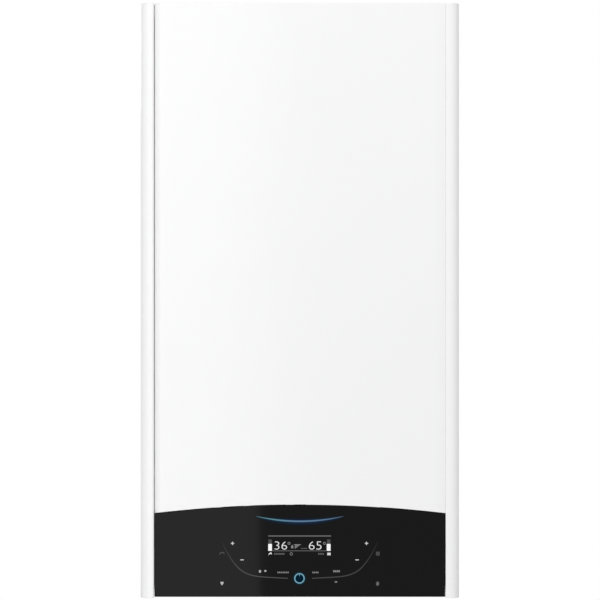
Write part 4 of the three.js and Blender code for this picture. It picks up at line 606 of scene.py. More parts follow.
def makeStatusArc():
    half, sag = marks["arcHalf"], marks["arcSag"]
    core, halo = [], []
    for i in range(65):
        x = half * (i / 32 - 1)
        share = 1 - (x / half) ** 2
        z = marks["arcEnds"] - sag * share
        glow = (0.45 + 0.6 * share ** 0.5, 0.15 + 0.35 * share)
        core.append((x, z, 0.5 + (marks["arcWidth"] - 0.5) * share ** 0.6, glow))
        halo.append((x, z - 0.6, 3.0 + 7.5 * share ** 0.7, (share ** 0.6, 0.0)))
    printed("statusHalo", arcHalo, [halo], lift=-0.02 * mm)
    printed("statusArc", arcCore, [core])


def makePowerKey():
    x, z = marks["key"]
    radius = marks["keyRadius"]
    printed("powerHalo", keyHalo, [circleStations(x, z, radius, 6.4, (1.0, 0.0))], lift=-0.02 * mm)
    printed("powerRing", keyRing, [circleStations(x, z, radius, 1.45)])
    inner = radius - 0.85
    disc = [(x + inner * math.cos(a * math.pi / 24), z + inner * math.sin(a * math.pi / 24)) for a in range(48)]
    printed("powerDisc", keyDisc, plates=[disc], lift=-0.02 * mm)
    printed("powerSign", keyRing, [[(x, z + 2.6, 0.7, 1.0), (x, z + 5.6, 0.7, 1.0)]])


def makeGuides():
    lines = []
    for side in (-1, 1):
        path = smoothPath([Vector(p) for p in marks["guide"]])
        last = len(path) - 1
        fade = [min(1.0, i / last * 2.0) * (1.0 if side > 0 else 1.15) for i in range(last + 1)]
        lines.append([(side * p.x, p.y, 1.15, fade[i]) for i, p in enumerate(path)])
    printed("guideLines", litLine, lines)


def makeKeys():
    x, z = marks["plus"]
    u, w = marks["minus"]
    signs = []
    for side in (-1, 1):
        near, far = side * x - 0.4, side * u - 0.4
        signs += [[(near - 2.0, z, 1.15, 1.0), (near + 2.0, z, 1.15, 1.0)]]
        signs += [[(near, z - 2.0, 1.15, 1.0), (near, z - 0.58, 1.15, 1.0)]]
        signs += [[(near, z + 0.58, 1.15, 1.0), (near, z + 2.0, 1.15, 1.0)]]
        signs += [[(far - 2.2, w, 1.1, 1.0), (far + 2.2, w, 1.1, 1.0)]]
    printed("keySigns", litKey, signs)
    # Hot water on the left and heating on the right.
    tap = [[(a, b, 1.0, 1.0) for a, b in ((-100.6, 54.6), (-99.3, 56.7), (-97.4, 57.3), (-95.2, 57.2), (-95.0, 55.2))]]
    tap += [[(97.6 + k, 53.3, 0.9, 1.0), (97.6 + k, 58.2, 0.9, 1.0)] for k in (-1.8, -0.6, 0.6, 1.8)]
    printed("circuitIcons", litDim, tap)
    leaf = [(-97.5, 15.7), (-95.4, 18.9), (-95.5, 20.0), (-96.5, 20.6), (-97.5, 20.2), (-98.5, 20.6), (-99.5, 20.0)]
    leaf.append((-99.6, 18.9))
    flame = [(97.4, 21.2), (95.8, 19.4), (95.3, 17.4), (96.2, 15.7), (98.5, 15.7), (99.4, 17.4), (99.0, 19.4)]
    printed("leafIcon", litLeaf, plates=[leaf])
    printed("flameIcon", litGrey, plates=[flame])
    # Small function marks round the power key.
    bulb = [(-49.9 + 1.4 * math.cos(k * math.pi / 8), 33.5 + 1.8 * math.sin(k * math.pi / 8)) for k in range(16)]
    blob = [(-43.2 + 1.5 * math.cos(k * math.pi / 8), 34.0 + 1.1 * math.sin(k * math.pi / 8)) for k in range(16)]
    printed("comfortIcon", litLeaf, plates=[bulb, blob])
    words = [bar(-28.0 + 2.1 * k, -26.6 + 2.1 * k, 31.2, 33.1) for k in range(7)]
    words += [bar(15.6 + 2.1 * k, 17.0 + 2.1 * k, 31.2, 33.1) for k in range(4)]
    words += [bar(41.8 + 2.2 * k, 43.5 + 2.2 * k, 32.4, 34.9) for k in range(4)]
    words += [bar(43.8, 46.8, 19.5, 21.1)]
    printed("functionMarks", litWord, plates=words)


def makeDisplay():
    high, low = 77.8, 59.2
    lines = [bar(-39.6, 39.0, high - 0.75, high + 0.75), bar(-34.5, 33.4, low - 0.4, low + 0.4)]
    printed("displayLines", litGrey, plates=lines)
    printed("levelBars", litWhite, plates=[bar(-39.6, -35.0, 59.2, 67.9), bar(33.7, 38.4, 59.2, 67.9)])
    printed("levelTops", litDim, plates=[bar(-39.4, -35.2, 68.6, 73.4), bar(34.0, 38.2, 68.6, 73.4)])
    digits("leftReading", "36", -31.6, 60.8, 15.6, 10.2, litDigit)
    digits("rightReading", "65", 11.2, 60.8, 16.0, 10.2, litDigit)
    degrees = [circleStations(x, 68.6, 1.35, 0.75, steps=24) for x in (-13.6, 30.8)]
    printed("degreeSigns", litWord, degrees)
    wedge = [bar(-6.2 + 1.25 * k, -5.3 + 1.25 * k, 62.0 + 0.95 * k, 67.2) for k in range(6)]
    wedge += [bar(-7.4, 1.4, 66.7, 67.4)]
    house = [(-10.9, 62.4), (-8.1, 62.4), (-8.1, 65.0), (-9.5, 66.8), (-10.9, 65.0)]
    printed("pressureScale", litWord, plates=[house, *wedge])
    printed("scaleDashes", litGrey, plates=[bar(1.6 + 1.6 * k, 2.6 + 1.6 * k, 61.6, 62.8) for k in range(5)])
    words = [bar(-32.0 + 1.9 * k, -30.7 + 1.9 * k, 54.4, 56.4) for k in range(7)]
    words += [bar(23.0 + 1.9 * k, 24.3 + 1.9 * k, 54.4, 56.4) for k in range(4)]
    printed("lowerWords", litGrey, plates=words)
    clock = circleStations(-10.7, 55.4, 1.6, 0.6, steps=24)
    printed("clockIcon", litWord, [clock])
    tap = [(-39.6, 53.6), (-38.4, 56.3), (-36.6, 57.3), (-35.2, 56.8), (-35.2, 54.4), (-36.3, 55.5), (-37.8, 55.1)]
    printed("tapIcon", litDigit, plates=[tap])
    fins = [bar(34.4 + 1.1 * k, 35.2 + 1.1 * k, 53.6, 57.0) for k in range(4)]
    printed("radiatorIcon", litDigit, plates=[*fins, bar(34.4, 38.5, 54.5, 56.1)])


makeFascia()
makeStatusArc()
makePowerKey()
makeGuides()
makeKeys()
makeDisplay()
print("fascia made")


# ---- Geometry node trees for what repeats or follows a path

def newTree(name, *inputs):
    tree = bpy.data.node_groups.new(name, "GeometryNodeTree")
    tree.interface.new_socket("Geometry", in_out="INPUT", socket_type="NodeSocketGeometry")
    for title, kind in (*inputs, ("Finish", "Material")):
        tree.interface.new_socket(title, in_out="INPUT", socket_type="NodeSocket" + kind)
    tree.interface.new_socket("Geometry", in_out="OUTPUT", socket_type="NodeSocketGeometry")
    return tree, tree.nodes.new("NodeGroupInput").outputs, tree.nodes.new("NodeGroupOutput")


def treeNode(tree, kind, operation=None, **sockets):
    node = tree.nodes.new(kind)
    if operation:
        node.operation = operation
    for name, value in sockets.items():
        numbered = name[0] == "s" and name[1:].isdigit()
        target = node.inputs[int(name[1:]) if numbered else name.replace("_", " ")]
        if isinstance(value, bpy.types.NodeSocket):
            tree.links.new(value, target)
        else:
            target.default_value = value
    return node


def endTree(tree, geometry, given, end):
    whole = treeNode(tree, "GeometryNodeRealizeInstances", Geometry=geometry)
    dressed = treeNode(tree, "GeometryNodeSetMaterial", Geometry=whole.outputs[0], Material=given["Finish"])
    tree.links.new(dressed.outputs[0], end.inputs[0])
    return tree


def makeTubeTree():
    # A round or cornered bar along each line; the girth attribute widens it from point to point.
    tree, given, end = newTree("tubeTree", ("Radius", "Float"), ("Sides", "Int"))
    line = treeNode(tree, "GeometryNodeMeshToCurve", Mesh=given["Geometry"])
    ring = treeNode(tree, "GeometryNodeCurvePrimitiveCircle", Radius=given["Radius"], Resolution=given["Sides"])
    girth = treeNode(tree, "GeometryNodeInputNamedAttribute", Name="girth")
    tube = treeNode(tree, "GeometryNodeCurveToMesh", Curve=line.outputs[0], Profile_Curve=ring.outputs[0],
                    Scale=girth.outputs["Attribute"], Fill_Caps=True)
    return endTree(tree, tube.outputs[0], given, end)


def makeRepeatTree():
    # Copies of a shape, each moved by one step and turned by one turn about the centre from the last.
    tree, given, end = newTree("repeatTree", ("Count", "Int"), ("Step", "Vector"), ("Turn", "Vector"),
                               ("Centre", "Vector"))
    back = treeNode(tree, "ShaderNodeVectorMath", "SCALE", s0=given["Centre"], Scale=-1.0)
    seed = treeNode(tree, "GeometryNodeTransform", Geometry=given["Geometry"], Translation=back.outputs[0])
    row = treeNode(tree, "GeometryNodeMeshLine", Count=given["Count"], Start_Location=given["Centre"],
                   Offset=given["Step"])
    index = tree.nodes.new("GeometryNodeInputIndex")
    turn = treeNode(tree, "ShaderNodeVectorMath", "SCALE", s0=given["Turn"], Scale=index.outputs[0])
    copies = treeNode(tree, "GeometryNodeInstanceOnPoints", Points=row.outputs[0], Instance=seed.outputs[0],
                      Rotation=turn.outputs[0])
    return endTree(tree, copies.outputs[0], given, end)


def makeHeadTree():
    # A washer, a head and its chamfer on every point, standing along the aim.
    tree, given, end = newTree("headTree", ("Radius", "Float"), ("Height", "Float"), ("Washer", "Float"),
                               ("Sides", "Int"), ("Aim", "Vector"))
    parts = tree.nodes.new("GeometryNodeJoinGeometry")
    crown = treeNode(tree, "ShaderNodeMath", "MULTIPLY", s0=given["Radius"], s1=0.8)
    rim = treeNode(tree, "ShaderNodeMath", "MULTIPLY", s0=given["Washer"], s1=0.93)
    layers = (
        (24, given["Washer"], rim.outputs[0], 0.0, 0.2),
        (given["Sides"], given["Radius"], given["Radius"], 0.2, 1.0),
        (given["Sides"], given["Radius"], crown.outputs[0], 1.0, 1.15),
    )
    for sides, low, high, start, stop in layers:
        depth = treeNode(tree, "ShaderNodeMath", "MULTIPLY", s0=given["Height"], s1=stop - start)
        rise = treeNode(tree, "ShaderNodeMath", "MULTIPLY", s0=given["Height"], s1=start - 0.02)
        lift = treeNode(tree, "ShaderNodeCombineXYZ", Z=rise.outputs[0])
        cone = treeNode(tree, "GeometryNodeMeshCone", Vertices=sides, Radius_Bottom=low, Radius_Top=high,
                        Depth=depth.outputs[0])
        placed = treeNode(tree, "GeometryNodeTransform", Geometry=cone.outputs[0], Translation=lift.outputs[0])
        tree.links.new(placed.outputs[0], parts.inputs[0])
    heads = treeNode(tree, "GeometryNodeInstanceOnPoints", Points=given["Geometry"], Instance=parts.outputs[0],
                     Rotation=given["Aim"])
    return endTree(tree, heads.outputs[0], given, end)


tubeTree, repeatTree, headTree = makeTubeTree(), makeRepeatTree(), makeHeadTree()


def grown(piece, tree, **values):
    # The tree's result as a plain mesh; the modifier goes.
    growth = piece.modifiers.new("growth", "NODES")
    growth.node_group = tree
    for socket in tree.interface.items_tree:
        if socket.in_out == "INPUT" and socket.name in values:
            growth[socket.identifier] = values[socket.name]
    return baked(piece)


# ---- Round and cornered solids, in millimetres from the wall, the middle and the casing's lower edge

def at(x, y, z):
    return Vector((x * mm, y * mm, foot + z * mm))


def shaded(piece, angle=35):
    piece.data.shade_smooth()
    piece.data.set_sharp_from_angle(angle=math.radians(angle))
    return piece


def eased(profile, radius=0.6, steps=3):
    # Corners of a profile rounded off.
    closed = profile[0] == profile[-1]
    points = [Vector(p) for p in (profile[:-1] if closed else profile)]
    count = len(points)
    line = []
    for i, corner in enumerate(points):
        if not closed and i in (0, count - 1):
            line.append(corner)
            continue
        before, after = points[i - 1] - corner, points[(i + 1) % count] - corner
        reach = min(radius, before.length * 0.4, after.length * 0.4)
        a, b = corner + before.normalized() * reach, corner + after.normalized() * reach
        line += [a.lerp(corner, t).lerp(corner.lerp(b, t), t) for t in [k / steps for k in range(steps + 1)]]
    line = [tuple(p) for p in line]
    return line + [line[0]] if closed else line


def turned(name, profile, middle, material, axis="y", sides=64, edge=0.6):
    # A profile of radius and place along the axis, spun about it.
    line = eased(profile, edge) if edge else profile
    count = len(line)
    points, faces = [], []
    for step in range(sides):
        turn = 2 * math.pi * (step + 0.5) / sides
        for radius, along in line:
            a, b = radius * math.cos(turn), radius * math.sin(turn)
            x, y, z = {"x": (along, a, b), "y": (a, along, b), "z": (a, b, along)}[axis]
            points.append(at(middle[0] + x, middle[1] + y, middle[2] + z))
    for step in range(sides):
        near, far = step * count, (step + 1) % sides * count
        faces += [(near + j, near + j + 1, far + j + 1, far + j) for j in range(count - 1)]
    return shaded(meshFrom(name, points, faces, material))


def rod(name, radius, low, high, middle, material, axis="y", sides=48, edge=0.6):
    return turned(name, [(0, low), (radius, low), (radius, high), (0, high)], middle, material, axis, sides, edge)


def roundRect(x0, x1, z0, z1, radius, steps=8):
    corners = ((x1 - radius, z0 + radius, -90), (x1 - radius, z1 - radius, 0), (x0 + radius, z1 - radius, 90),
               (x0 + radius, z0 + radius, 180))
    line = []
    for x, z, start in corners:
        for step in range(steps + 1):
            turn = math.radians(start + 90 * step / steps)
            line.append((x + radius * math.cos(turn), z + radius * math.sin(turn)))
    return line


def plate(name, outline, front, rear, material, edge=0.6, axis="y"):
    # An outline with a thickness along one axis and its edges rounded.
    places = {"y": lambda a, b, t: at(a, t, b), "z": lambda a, b, t: at(a, b, t)}[axis]
    points = [places(a, b, t) for t in (front, rear) for a, b in outline]
    piece = meshFrom(name, points, prismFaces(len(outline)), material)
    return softEdges(piece, edge * mm, 3, 50) if edge else piece


def brick(name, x0, x1, y0, y1, z0, z1, material, edge=0.8):
    return plate(name, [(x0, z0), (x1, z0), (x1, z1), (x0, z1)], y0, y1, material, edge)


def merged(base, *others, operation="UNION"):
    for other in others:
        step = base.modifiers.new("step", "BOOLEAN")
        step.operation = operation
        step.solver = "EXACT"
        step.object = other
        baked(base)
        bpy.data.objects.remove(other)
    return shaded(base)


def cut(base, *others):
    return merged(base, *others, operation="DIFFERENCE")


def hole(radius, low, high, middle, axis="y", sides=24):
    return rod("hole", radius, low, high, middle, None, axis, sides, 0)


def joinedPieces(base, *others, inset=None):
    # Separate closed bodies of one piece, in one mesh. The inset one keeps its own material.
    shape = bmesh.new()
    for piece in (base, *others):
        shape.from_mesh(piece.data)
    if inset:
        known = len(shape.faces)
        shape.from_mesh(inset.data)
        for face in list(shape.faces)[known:]:
            face.material_index = 1
        base.data.materials.append(inset.data.materials[0])
        others = (*others, inset)
    shape.to_mesh(base.data)
    shape.free()
    for other in others:
        bpy.data.objects.remove(other)
    return base


def swung(piece, centre, axis, angle):
    # Turned in its place about a line through the centre.
    middle, turn = at(*centre), Quaternion(axis, angle)
    for v in piece.data.vertices:
        v.co = turn @ (v.co - middle) + middle
    return piece


def ringPlaces(a, b, radius, degrees):
    return [(a + radius * math.cos(math.radians(d)), b + radius * math.sin(math.radians(d))) for d in degrees]


def bentLine(corners, bend, steps=8):
    # Straight between its corners, with one arc at each.
    line = [Vector(corners[0])]
    for i in range(1, len(corners) - 1):
        before, corner, after = (Vector(corners[k]) for k in (i - 1, i, i + 1))
        into, out = (corner - before).normalized(), (after - corner).normalized()
        turn = into.angle(out)
        axis = into.cross(out).normalized()
        start = corner - into * bend * math.tan(turn / 2)
        centre = start + axis.cross(into) * bend
        line += [centre + Quaternion(axis, turn * k / steps) @ (start - centre) for k in range(steps + 1)]
    return line + [Vector(corners[-1])]


def walkedLine(line, spacing):
    # Evenly spaced places along a line, each with the way gone to reach it.
    stations, walked = [], 0.0
    for a, b in zip(line, line[1:]):
        steps = max(1, round((b - a).length / spacing))
        stations += [(a.lerp(b, k / steps), walked + (b - a).length * k / steps) for k in range(steps)]
        walked += (b - a).length
    return [*stations, (line[-1], walked)]


def tubes(name, lines, radius, material, sides=28):
    # Each line is a list of places, or of places with their girth.
    points, edges, girth = [], [], []
    for line in lines:
        start = len(points)
        for place, wide in [(p if isinstance(p, tuple) and len(p) == 2 else (p, 1.0)) for p in line]:
            points.append(at(*place))
            girth.append(wide)
        edges += [(i, i + 1) for i in range(start, len(points) - 1)]
    mesh = bpy.data.meshes.new(name)
    mesh.from_pydata(points, edges, [])
    mesh.attributes.new("girth", "FLOAT", "POINT").data.foreach_set("value", girth)
    piece = grown(newObject(name, mesh, None), tubeTree, Radius=radius * mm, Sides=sides, Finish=material)
    shape = bmesh.new()
    shape.from_mesh(piece.data)
    bmesh.ops.remove_doubles(shape, verts=shape.verts, dist=1e-6)
    bmesh.ops.recalc_face_normals(shape, faces=shape.faces)
    shape.to_mesh(piece.data)
    shape.free()
    return shaded(piece)


def nutLine(start, towards, length):
    # A nut's axis with its two chamfers.
    start = Vector(start)
    along = (Vector(towards) - start).normalized() * length
    return [(start, 0.88), (start + along * 0.09, 1.0), (start + along * 0.91, 1.0), (start + along, 0.88)]


def fittedPipe(name, node, corners, bend, radius):
    pipe = tubes(name, [bentLine(corners, bend)], radius, materialOf[slotOf[node]])
    ends = [nutLine(corners[i], corners[j], radius * 1.4) for i, j in ((0, 1), (-1, -2))]
    collars = []
    for line in ends:
        # A plain ring behind each hexagon.
        outer, inner = line[-1][0], line[-2][0]
        step = (outer - inner).normalized()
        collars.append([(outer - step * 0.5, 1.15), (outer + step * 2.2, 1.15), (outer + step * 3.0, 1.02)])
    return joinedPieces(pipe, tubes(name + "Nuts", ends, radius * 1.6, turnedBrass, 6),
                        tubes(name + "Rings", collars, radius, turnedBrass))


def heads(name, places, radius, height, washer, body="carcass", aim="front", sides=16, material=zincSheet):
    # Fastener heads by the head tree, on the points of a bare mesh.
    mesh = bpy.data.meshes.new(name)
    mesh.from_pydata([at(*p) for p in places], [], [])
    turn = {"front": (math.pi / 2, 0, 0), "back": (-math.pi / 2, 0, 0), "up": (0, 0, 0)}[aim]
    piece = grown(newObject(name, mesh, None), headTree, Radius=radius * mm, Height=height * mm, Washer=washer * mm,
                  Sides=sides, Aim=turn, Finish=material)
    return settle(shaded(piece), body=body, slot="zinc_steel")


def repeated(piece, count, material, step=(0, 0, 0), turn=(0, 0, 0), centre=(0, 0, 0)):
    grown(piece, repeatTree, Count=count, Step=[s * mm for s in step], Turn=turn, Centre=at(*centre), Finish=material)
    return shaded(piece)


makeFrontPanel()
makeMoulding(1, "rightMoulding", "right_moulding")
makeMoulding(-1, "leftMoulding", "left_moulding")
print("casing front made")


# ---- Flue

flueParts = {"axis": (0, -150, 0), "duct": 50.3, "flange": 70, "seat": 734.3, "top": 744, "foot": 701, "bell": 30.6}


def makeFlue():
    axis, duct, seat, top, low = (flueParts[k] for k in ("axis", "duct", "seat", "top", "foot"))
    flange, bell = flueParts["flange"], flueParts["bell"]
    ring = [(duct, low), (duct + 2, low), (duct + 2, seat), (flange, seat), (flange, seat + 2.5)]
    ring += [(duct + 2, seat + 2.5), (duct + 2, top), (duct, top), (duct, low)]
    collar = turned("flueCollar", ring, axis, whiteMoulded, "z", 96, 0.7)
    webs = []
    for degrees in range(45, 405, 90):
        web = brick("web", bell + 2.3, duct + 1, axis[1] - 1.2, axis[1] + 1.2, low, low + 12, whiteMoulded, 0)
        webs.append(swung(web, axis, (0, 0, 1), math.radians(degrees)))
    settle(merged(collar, *webs), "flue_collar")
    seals = []
    for z in (736, 727):
        r = duct - 1.7
        lips = [(r, z), (r + 1.6, z + 0.6), (r + 1.6, z + 3.4), (r, z + 4), (r - 1.1, z + 2), (r, z)]
        seals.append(turned("seal", lips, axis, hoseRubber, "z", 96, 0.4))
    settle(joinedPieces(*seals), body="carcass", slot="black_rubber").name = "flueSeals"
    bellFoot = low - 8
    pipe = [(28, 625.3), (30, 625.3), (30, bellFoot), (bell + 2, bellFoot + 4), (bell + 2, top), (bell, top)]
    pipe += [(bell, bellFoot + 6), (28, bellFoot + 2), (28, 625.3)]
    settle(turned("fluePipe", pipe, axis, stainlessSheet, "z", 80, 0.5), "flue_pipe")
    plug = [(0, 729), (4, 729), (4, 737.1), (7, 737.1), (6.4, 741.8), (4.4, 741.8), (4.4, 740.8), (0, 740.8)]
    for side, node in ((-1, "flue_sampling_plug"), (1, "air_sampling_plug")):
        place = (side * 60, axis[1], 0)
        settle(turned("samplingPlug" + str(side + 1), plug, place, greyMoulded, "z", 40, 0.5), node)


makeFlue()
print("flue made")


# ---- Expansion vessel behind everything

vessel = {"z": 500, "front": -97.8, "rear": -1.8, "radius": 175, "shell": 168}


def makeVessel():
    front, rear, shell, radius, z = (vessel[k] for k in ("front", "rear", "shell", "radius", "z"))
    dome = [(0, front), (shell * 0.42, front + 1.6), (shell * 0.78, front + 8.6), (shell * 0.95, front + 24)]
    dome.append((shell, front + 43))
    back = [(shell, rear - 43), (shell * 0.965, rear - 22), (shell * 0.86, rear - 2.5), (shell * 0.80, rear)]
    back.append((0, rear))
    profile = [tuple(p) for p in smoothPath([Vector(p) for p in dome], 5)]
    profile += [(shell + 1.5, front + 43.6), (radius, front + 44.4), (radius, front + 51.6)]
    profile.append((shell + 1.5, front + 52.4))
    profile += [tuple(p) for p in smoothPath([Vector(p) for p in back], 5)]
    body = turned("expansionVessel", profile, (0, 0, z), redEnamel, "y", 128, 0)
    settle(merged(body, rod("nipple", 8, 318, 355, (-40, -49.8, 0), redEnamel, "z", 32)), "expansion_vessel")
    cap = [(0, front - 0.1), (9, front - 0.1), (9, front - 3), (7.4, front - 4), (7.4, front - 11), (6, front - 13)]
    cover = turned("vesselValveCap", [*cap, (0, front - 13)], (0, 0, z), blackMoulded, "y", 32, 0.6)
    settle(cover, body="carcass", slot="black_plastic")


makeVessel()
print("vessel made")


# ---- Copper pipes with their union nuts, and the heating and gas tails

lineY = -122  # the row of connections and both manifolds stand this far from the wall
barrelZ = 79.75
seatZ, seatY = 120.3, -150.3  # where pieces sit on top of the manifolds, and in front of them


def tail(name, x, radius, material):
    # Threaded below the bracket: a fine wave down the tail's outside, then the hexagon above.
    bore, head = radius - 2.8, 39.8
    wave = [(radius - 0.55 * out, 6 + k * 1.9 + 0.95 * (1 - out)) for k in range(15) for out in (1, 0)]
    profile = [(0, 38), (bore, 38), (bore, 4), (radius - 0.9, 4), *wave, (radius - 0.3, 35.5), (radius - 0.3, head)]
    stub = turned(name, [*profile, (0, head)], (x, lineY, 0), material, "z", 64, 0)
    nut = tubes(name + "Nut", [nutLine((x, lineY, head), (x, lineY, head + 9), 9)], radius + 4.5, material, 6)
    return stub, nut


# Radius, bend and corners of each pipe.
pipeRoutes = {
    "flow_pipe": (9, 16, [(125.3, -125, 594), (174, -125, 594), (174, -118, 534), (174, -118, 345), (174, -88, 301),
                          (-90, -88, 301), (-90, -88, 190), (-90, lineY, 156), (-90, lineY, seatZ)]),
    "return_pipe": (9, 16, [(128, lineY, 250.3), (128, lineY, 300), (155, -207.5, 380), (155, -207.5, 446),
                            (125.3, -207.5, 446)]),
    "gas_supply_pipe": (8, 20, [(0, lineY, 41.5), (0, lineY, 89.5), (0, -168, 140), (0, -168, 220),
                                (40, -198.7, 250), (40, -198.7, 279.7)]),
    "gas_feed_pipe": (8, 12, [(-54.7, -190.7, 330), (4.7, -190.7, 330)]),
    "vessel_pipe": (5.5, 18, [(-40, -49.8, 317.7), (-40, -49.8, 180), (-60, lineY, 150), (-60, lineY, seatZ)]),
}


def makePipes():
    for node, (radius, bend, corners) in pipeRoutes.items():
        words = node.split("_")
        pipe = fittedPipe(words[0] + words[1].title(), node, corners, bend, radius)
        if node == "gas_supply_pipe":
            joinedPieces(pipe, *tail("gasTail", 0, 13.2, turnedBrass))
        settle(pipe, node)


makePipes()
print("pipes made")


# ---- Condensate hose and trap

hose = {"radius": 9, "rib": 0.14, "pitch": 3.6}


def makeCondensate():
    corners = [(0, -140, 414.7), (0, -140, 324.7), (-40, -190, 281), (-40, -190, 225.3)]
    line = [Vector(p) for p in bentLine(corners, 26, 16)]
    stations = walkedLine(line, 0.9)
    walked = stations[-1][1]
    ribbed = []
    for place, way in stations:
        smooth = min(way, walked - way) < 14
        wave = 0 if smooth else 0.5 - 0.5 * math.cos(2 * math.pi * way / hose["pitch"])
        ribbed.append((place, 1.0 - hose["rib"] * wave))
    settle(tubes("condensateHose", [ribbed], hose["radius"], hoseRubber, 28), "condensate_hose")
    axis = (-40, -190, 0)
    body = [(0, 10), (7, 10), (9, 14), (9, 39.8), (20, 39.8), (22, 69.5), (24, 71.5), (24, 87.5), (22, 89.5)]
    body += [(22, 209), (11, 217), (11, 225), (0, 225)]
    trap = turned("condensateTrap", body, axis, whiteMoulded, "z", 72, 1.2)
    rib = brick("rib", -17.2, -14.6, -191, -189, 73.5, 85.5, whiteMoulded, 0)
    ribs = repeated(rib, 24, whiteMoulded, turn=(0, 0, math.radians(15)), centre=axis)
    settle(joinedPieces(trap, ribs), "condensate_trap")
    band = [(9.2, 229), (10.6, 229), (10.6, 236), (9.2, 236), (9.2, 229)]
    clip = turned("hoseClip", band, axis, zincSheet, "z", 48, 0.3)
    ear = brick("ear", -43, -37, -204.5, -200.3, 229.6, 235.4, zincSheet, 0.8)
    settle(joinedPieces(clip, ear), body="carcass", slot="zinc_steel")


makeCondensate()
print("condensate parts made")


# ---- Combustion: door, fan, mixer, silencer and duct

burner = {"z": 520, "front": -244.3, "rear": -232.3, "half": 109, "corner": 34, "hub": 38, "hubFront": -285.3,
          "nuts": 6}


def makeDoor():
    z, front, rear, half, corner = (burner[k] for k in ("z", "front", "rear", "half", "corner"))
    hubFront, hub = burner["hubFront"], burner["hub"]
    middle = (0, 0, z)

    def layer(name, by, y0, y1, edge):
        outline = roundRect(-half + by, half - by, z - half + by, z + half - by, corner - by, 10)
        return plate(name, outline, y0, y1, castAlloy, edge)

    slab = layer("burnerDoor", 0, front, rear, 1.6)
    dome = [(0, hubFront), (hub - 8, hubFront), (hub - 2, hubFront + 6), (hub, front + 1), (0, front + 1)]
    ring = [(hub + 1, front + 1), (hub + 5, front + 1), (hub + 5, front - 2), (hub + 1, front - 3.4)]
    ring += [(hub - 2, front - 3.4), (hub - 2, front + 1), (hub + 1, front + 1)]
    parts = [cut(layer("bead", 7, front - 1.6, front + 1, 0.8), layer("pocket", 11, front - 3, front + 0.02, 0)),
             turned("hub", dome, middle, castAlloy, "y", 72, 4),
             rod("inlet", 22, -56, -20, (0, -268, z), castAlloy, "x", 48, 1),
             turned("ring", ring, middle, castAlloy, "y", 72, 1)]
    for degrees in (15, 105, 140, 220, 330):
        rib = brick("rib", hub - 6, half - 16, front - 7, front + 1, z - 1.6, z + 1.6, castAlloy, 0.8)
        parts.append(swung(rib, middle, (0, 1, 0), -math.radians(degrees)))
    merged(slab, *parts)
    sight, spark = [(x, 0, h) for x, h in ringPlaces(0, z, 53, (40, -60))]
    cut(slab, hole(7, front - 4, rear + 1, sight, "y", 32), hole(6, front - 4, rear + 1, spark, "y", 32),
        hole(31, front - 20, rear + 1, middle, "y", 48))
    settle(slab, "burner_door")
    studs = ringPlaces(0, z, half - 12, range(30, 390, 360 // burner["nuts"]))
    heads("doorNuts", [(x, front - 0.1, h) for x, h in studs], 5.6, 5.0, 7.4, sides=6, material=turnedBrass)
    glass = [(0, -249.6), (8, -249.6), (10.5, -247.6), (10.5, -244.6), (0, -244.6)]
    pane = turned("sightGlass", glass, sight, castAlloy, "y", 48, 0.6)
    window = rod("window", 6.2, -250.0, -247, sight, sightPane, "y", 40, 0.3)
    settle(joinedPieces(pane, inset=window), "sight_glass")
    x, h = spark[0], spark[2]
    base = brick("ignitionElectrode", x - 7, x + 7, -246.1, -244.6, h - 10, h + 10, castAlloy, 0.5)
    rings = [(0, -268.3), (2.6, -268.3), (3, -266)]
    for y in (-263.5, -259.5, -255.5, -251.5):
        rings += [(4.9, y), (4.9, y + 1.2), (3.7, y + 2.1), (3.7, y + 3.1)]
    ceramic = turned("ceramic", [*rings, (5, -246.5), (5, -220.3), (0, -220.3)], spark, insulator, "y", 40, 0.3)
    wire = rod("wire", 1.2, -221.3, -192.3, spark, stainlessSheet, "y", 20, 0.3)
    tip = rod("tip", 1.9, -273, -268, spark, stainlessSheet, "y", 24, 0.4)
    settle(joinedPieces(base, wire, tip, inset=ceramic), "ignition_electrode")


# The scroll about the fan's middle: it widens from the cut-off and leaves straight up on the left.
fanMiddle = (-95, 0, 330)
scroll = {"wide": 74, "narrow": 50, "steps": 90}


def scrollOutline(inset, top):
    x, _, z = fanMiddle
    wide, narrow, steps = (scroll[k] for k in ("wide", "narrow", "steps"))
    cutOff = x - (narrow + inset * 0.2) * math.cos(math.pi / 6) - inset
    line = [(x - wide + inset, top)]
    for i in range(steps + 1):
        turn = math.pi + i / steps * math.radians(330)
        radius = wide - (wide - narrow) * i / steps - inset
        line.append((x + math.cos(turn) * radius, z + math.sin(turn) * radius))
    return [*line, (cutOff, z + (narrow - inset) / 2 + 8), (cutOff, top)]


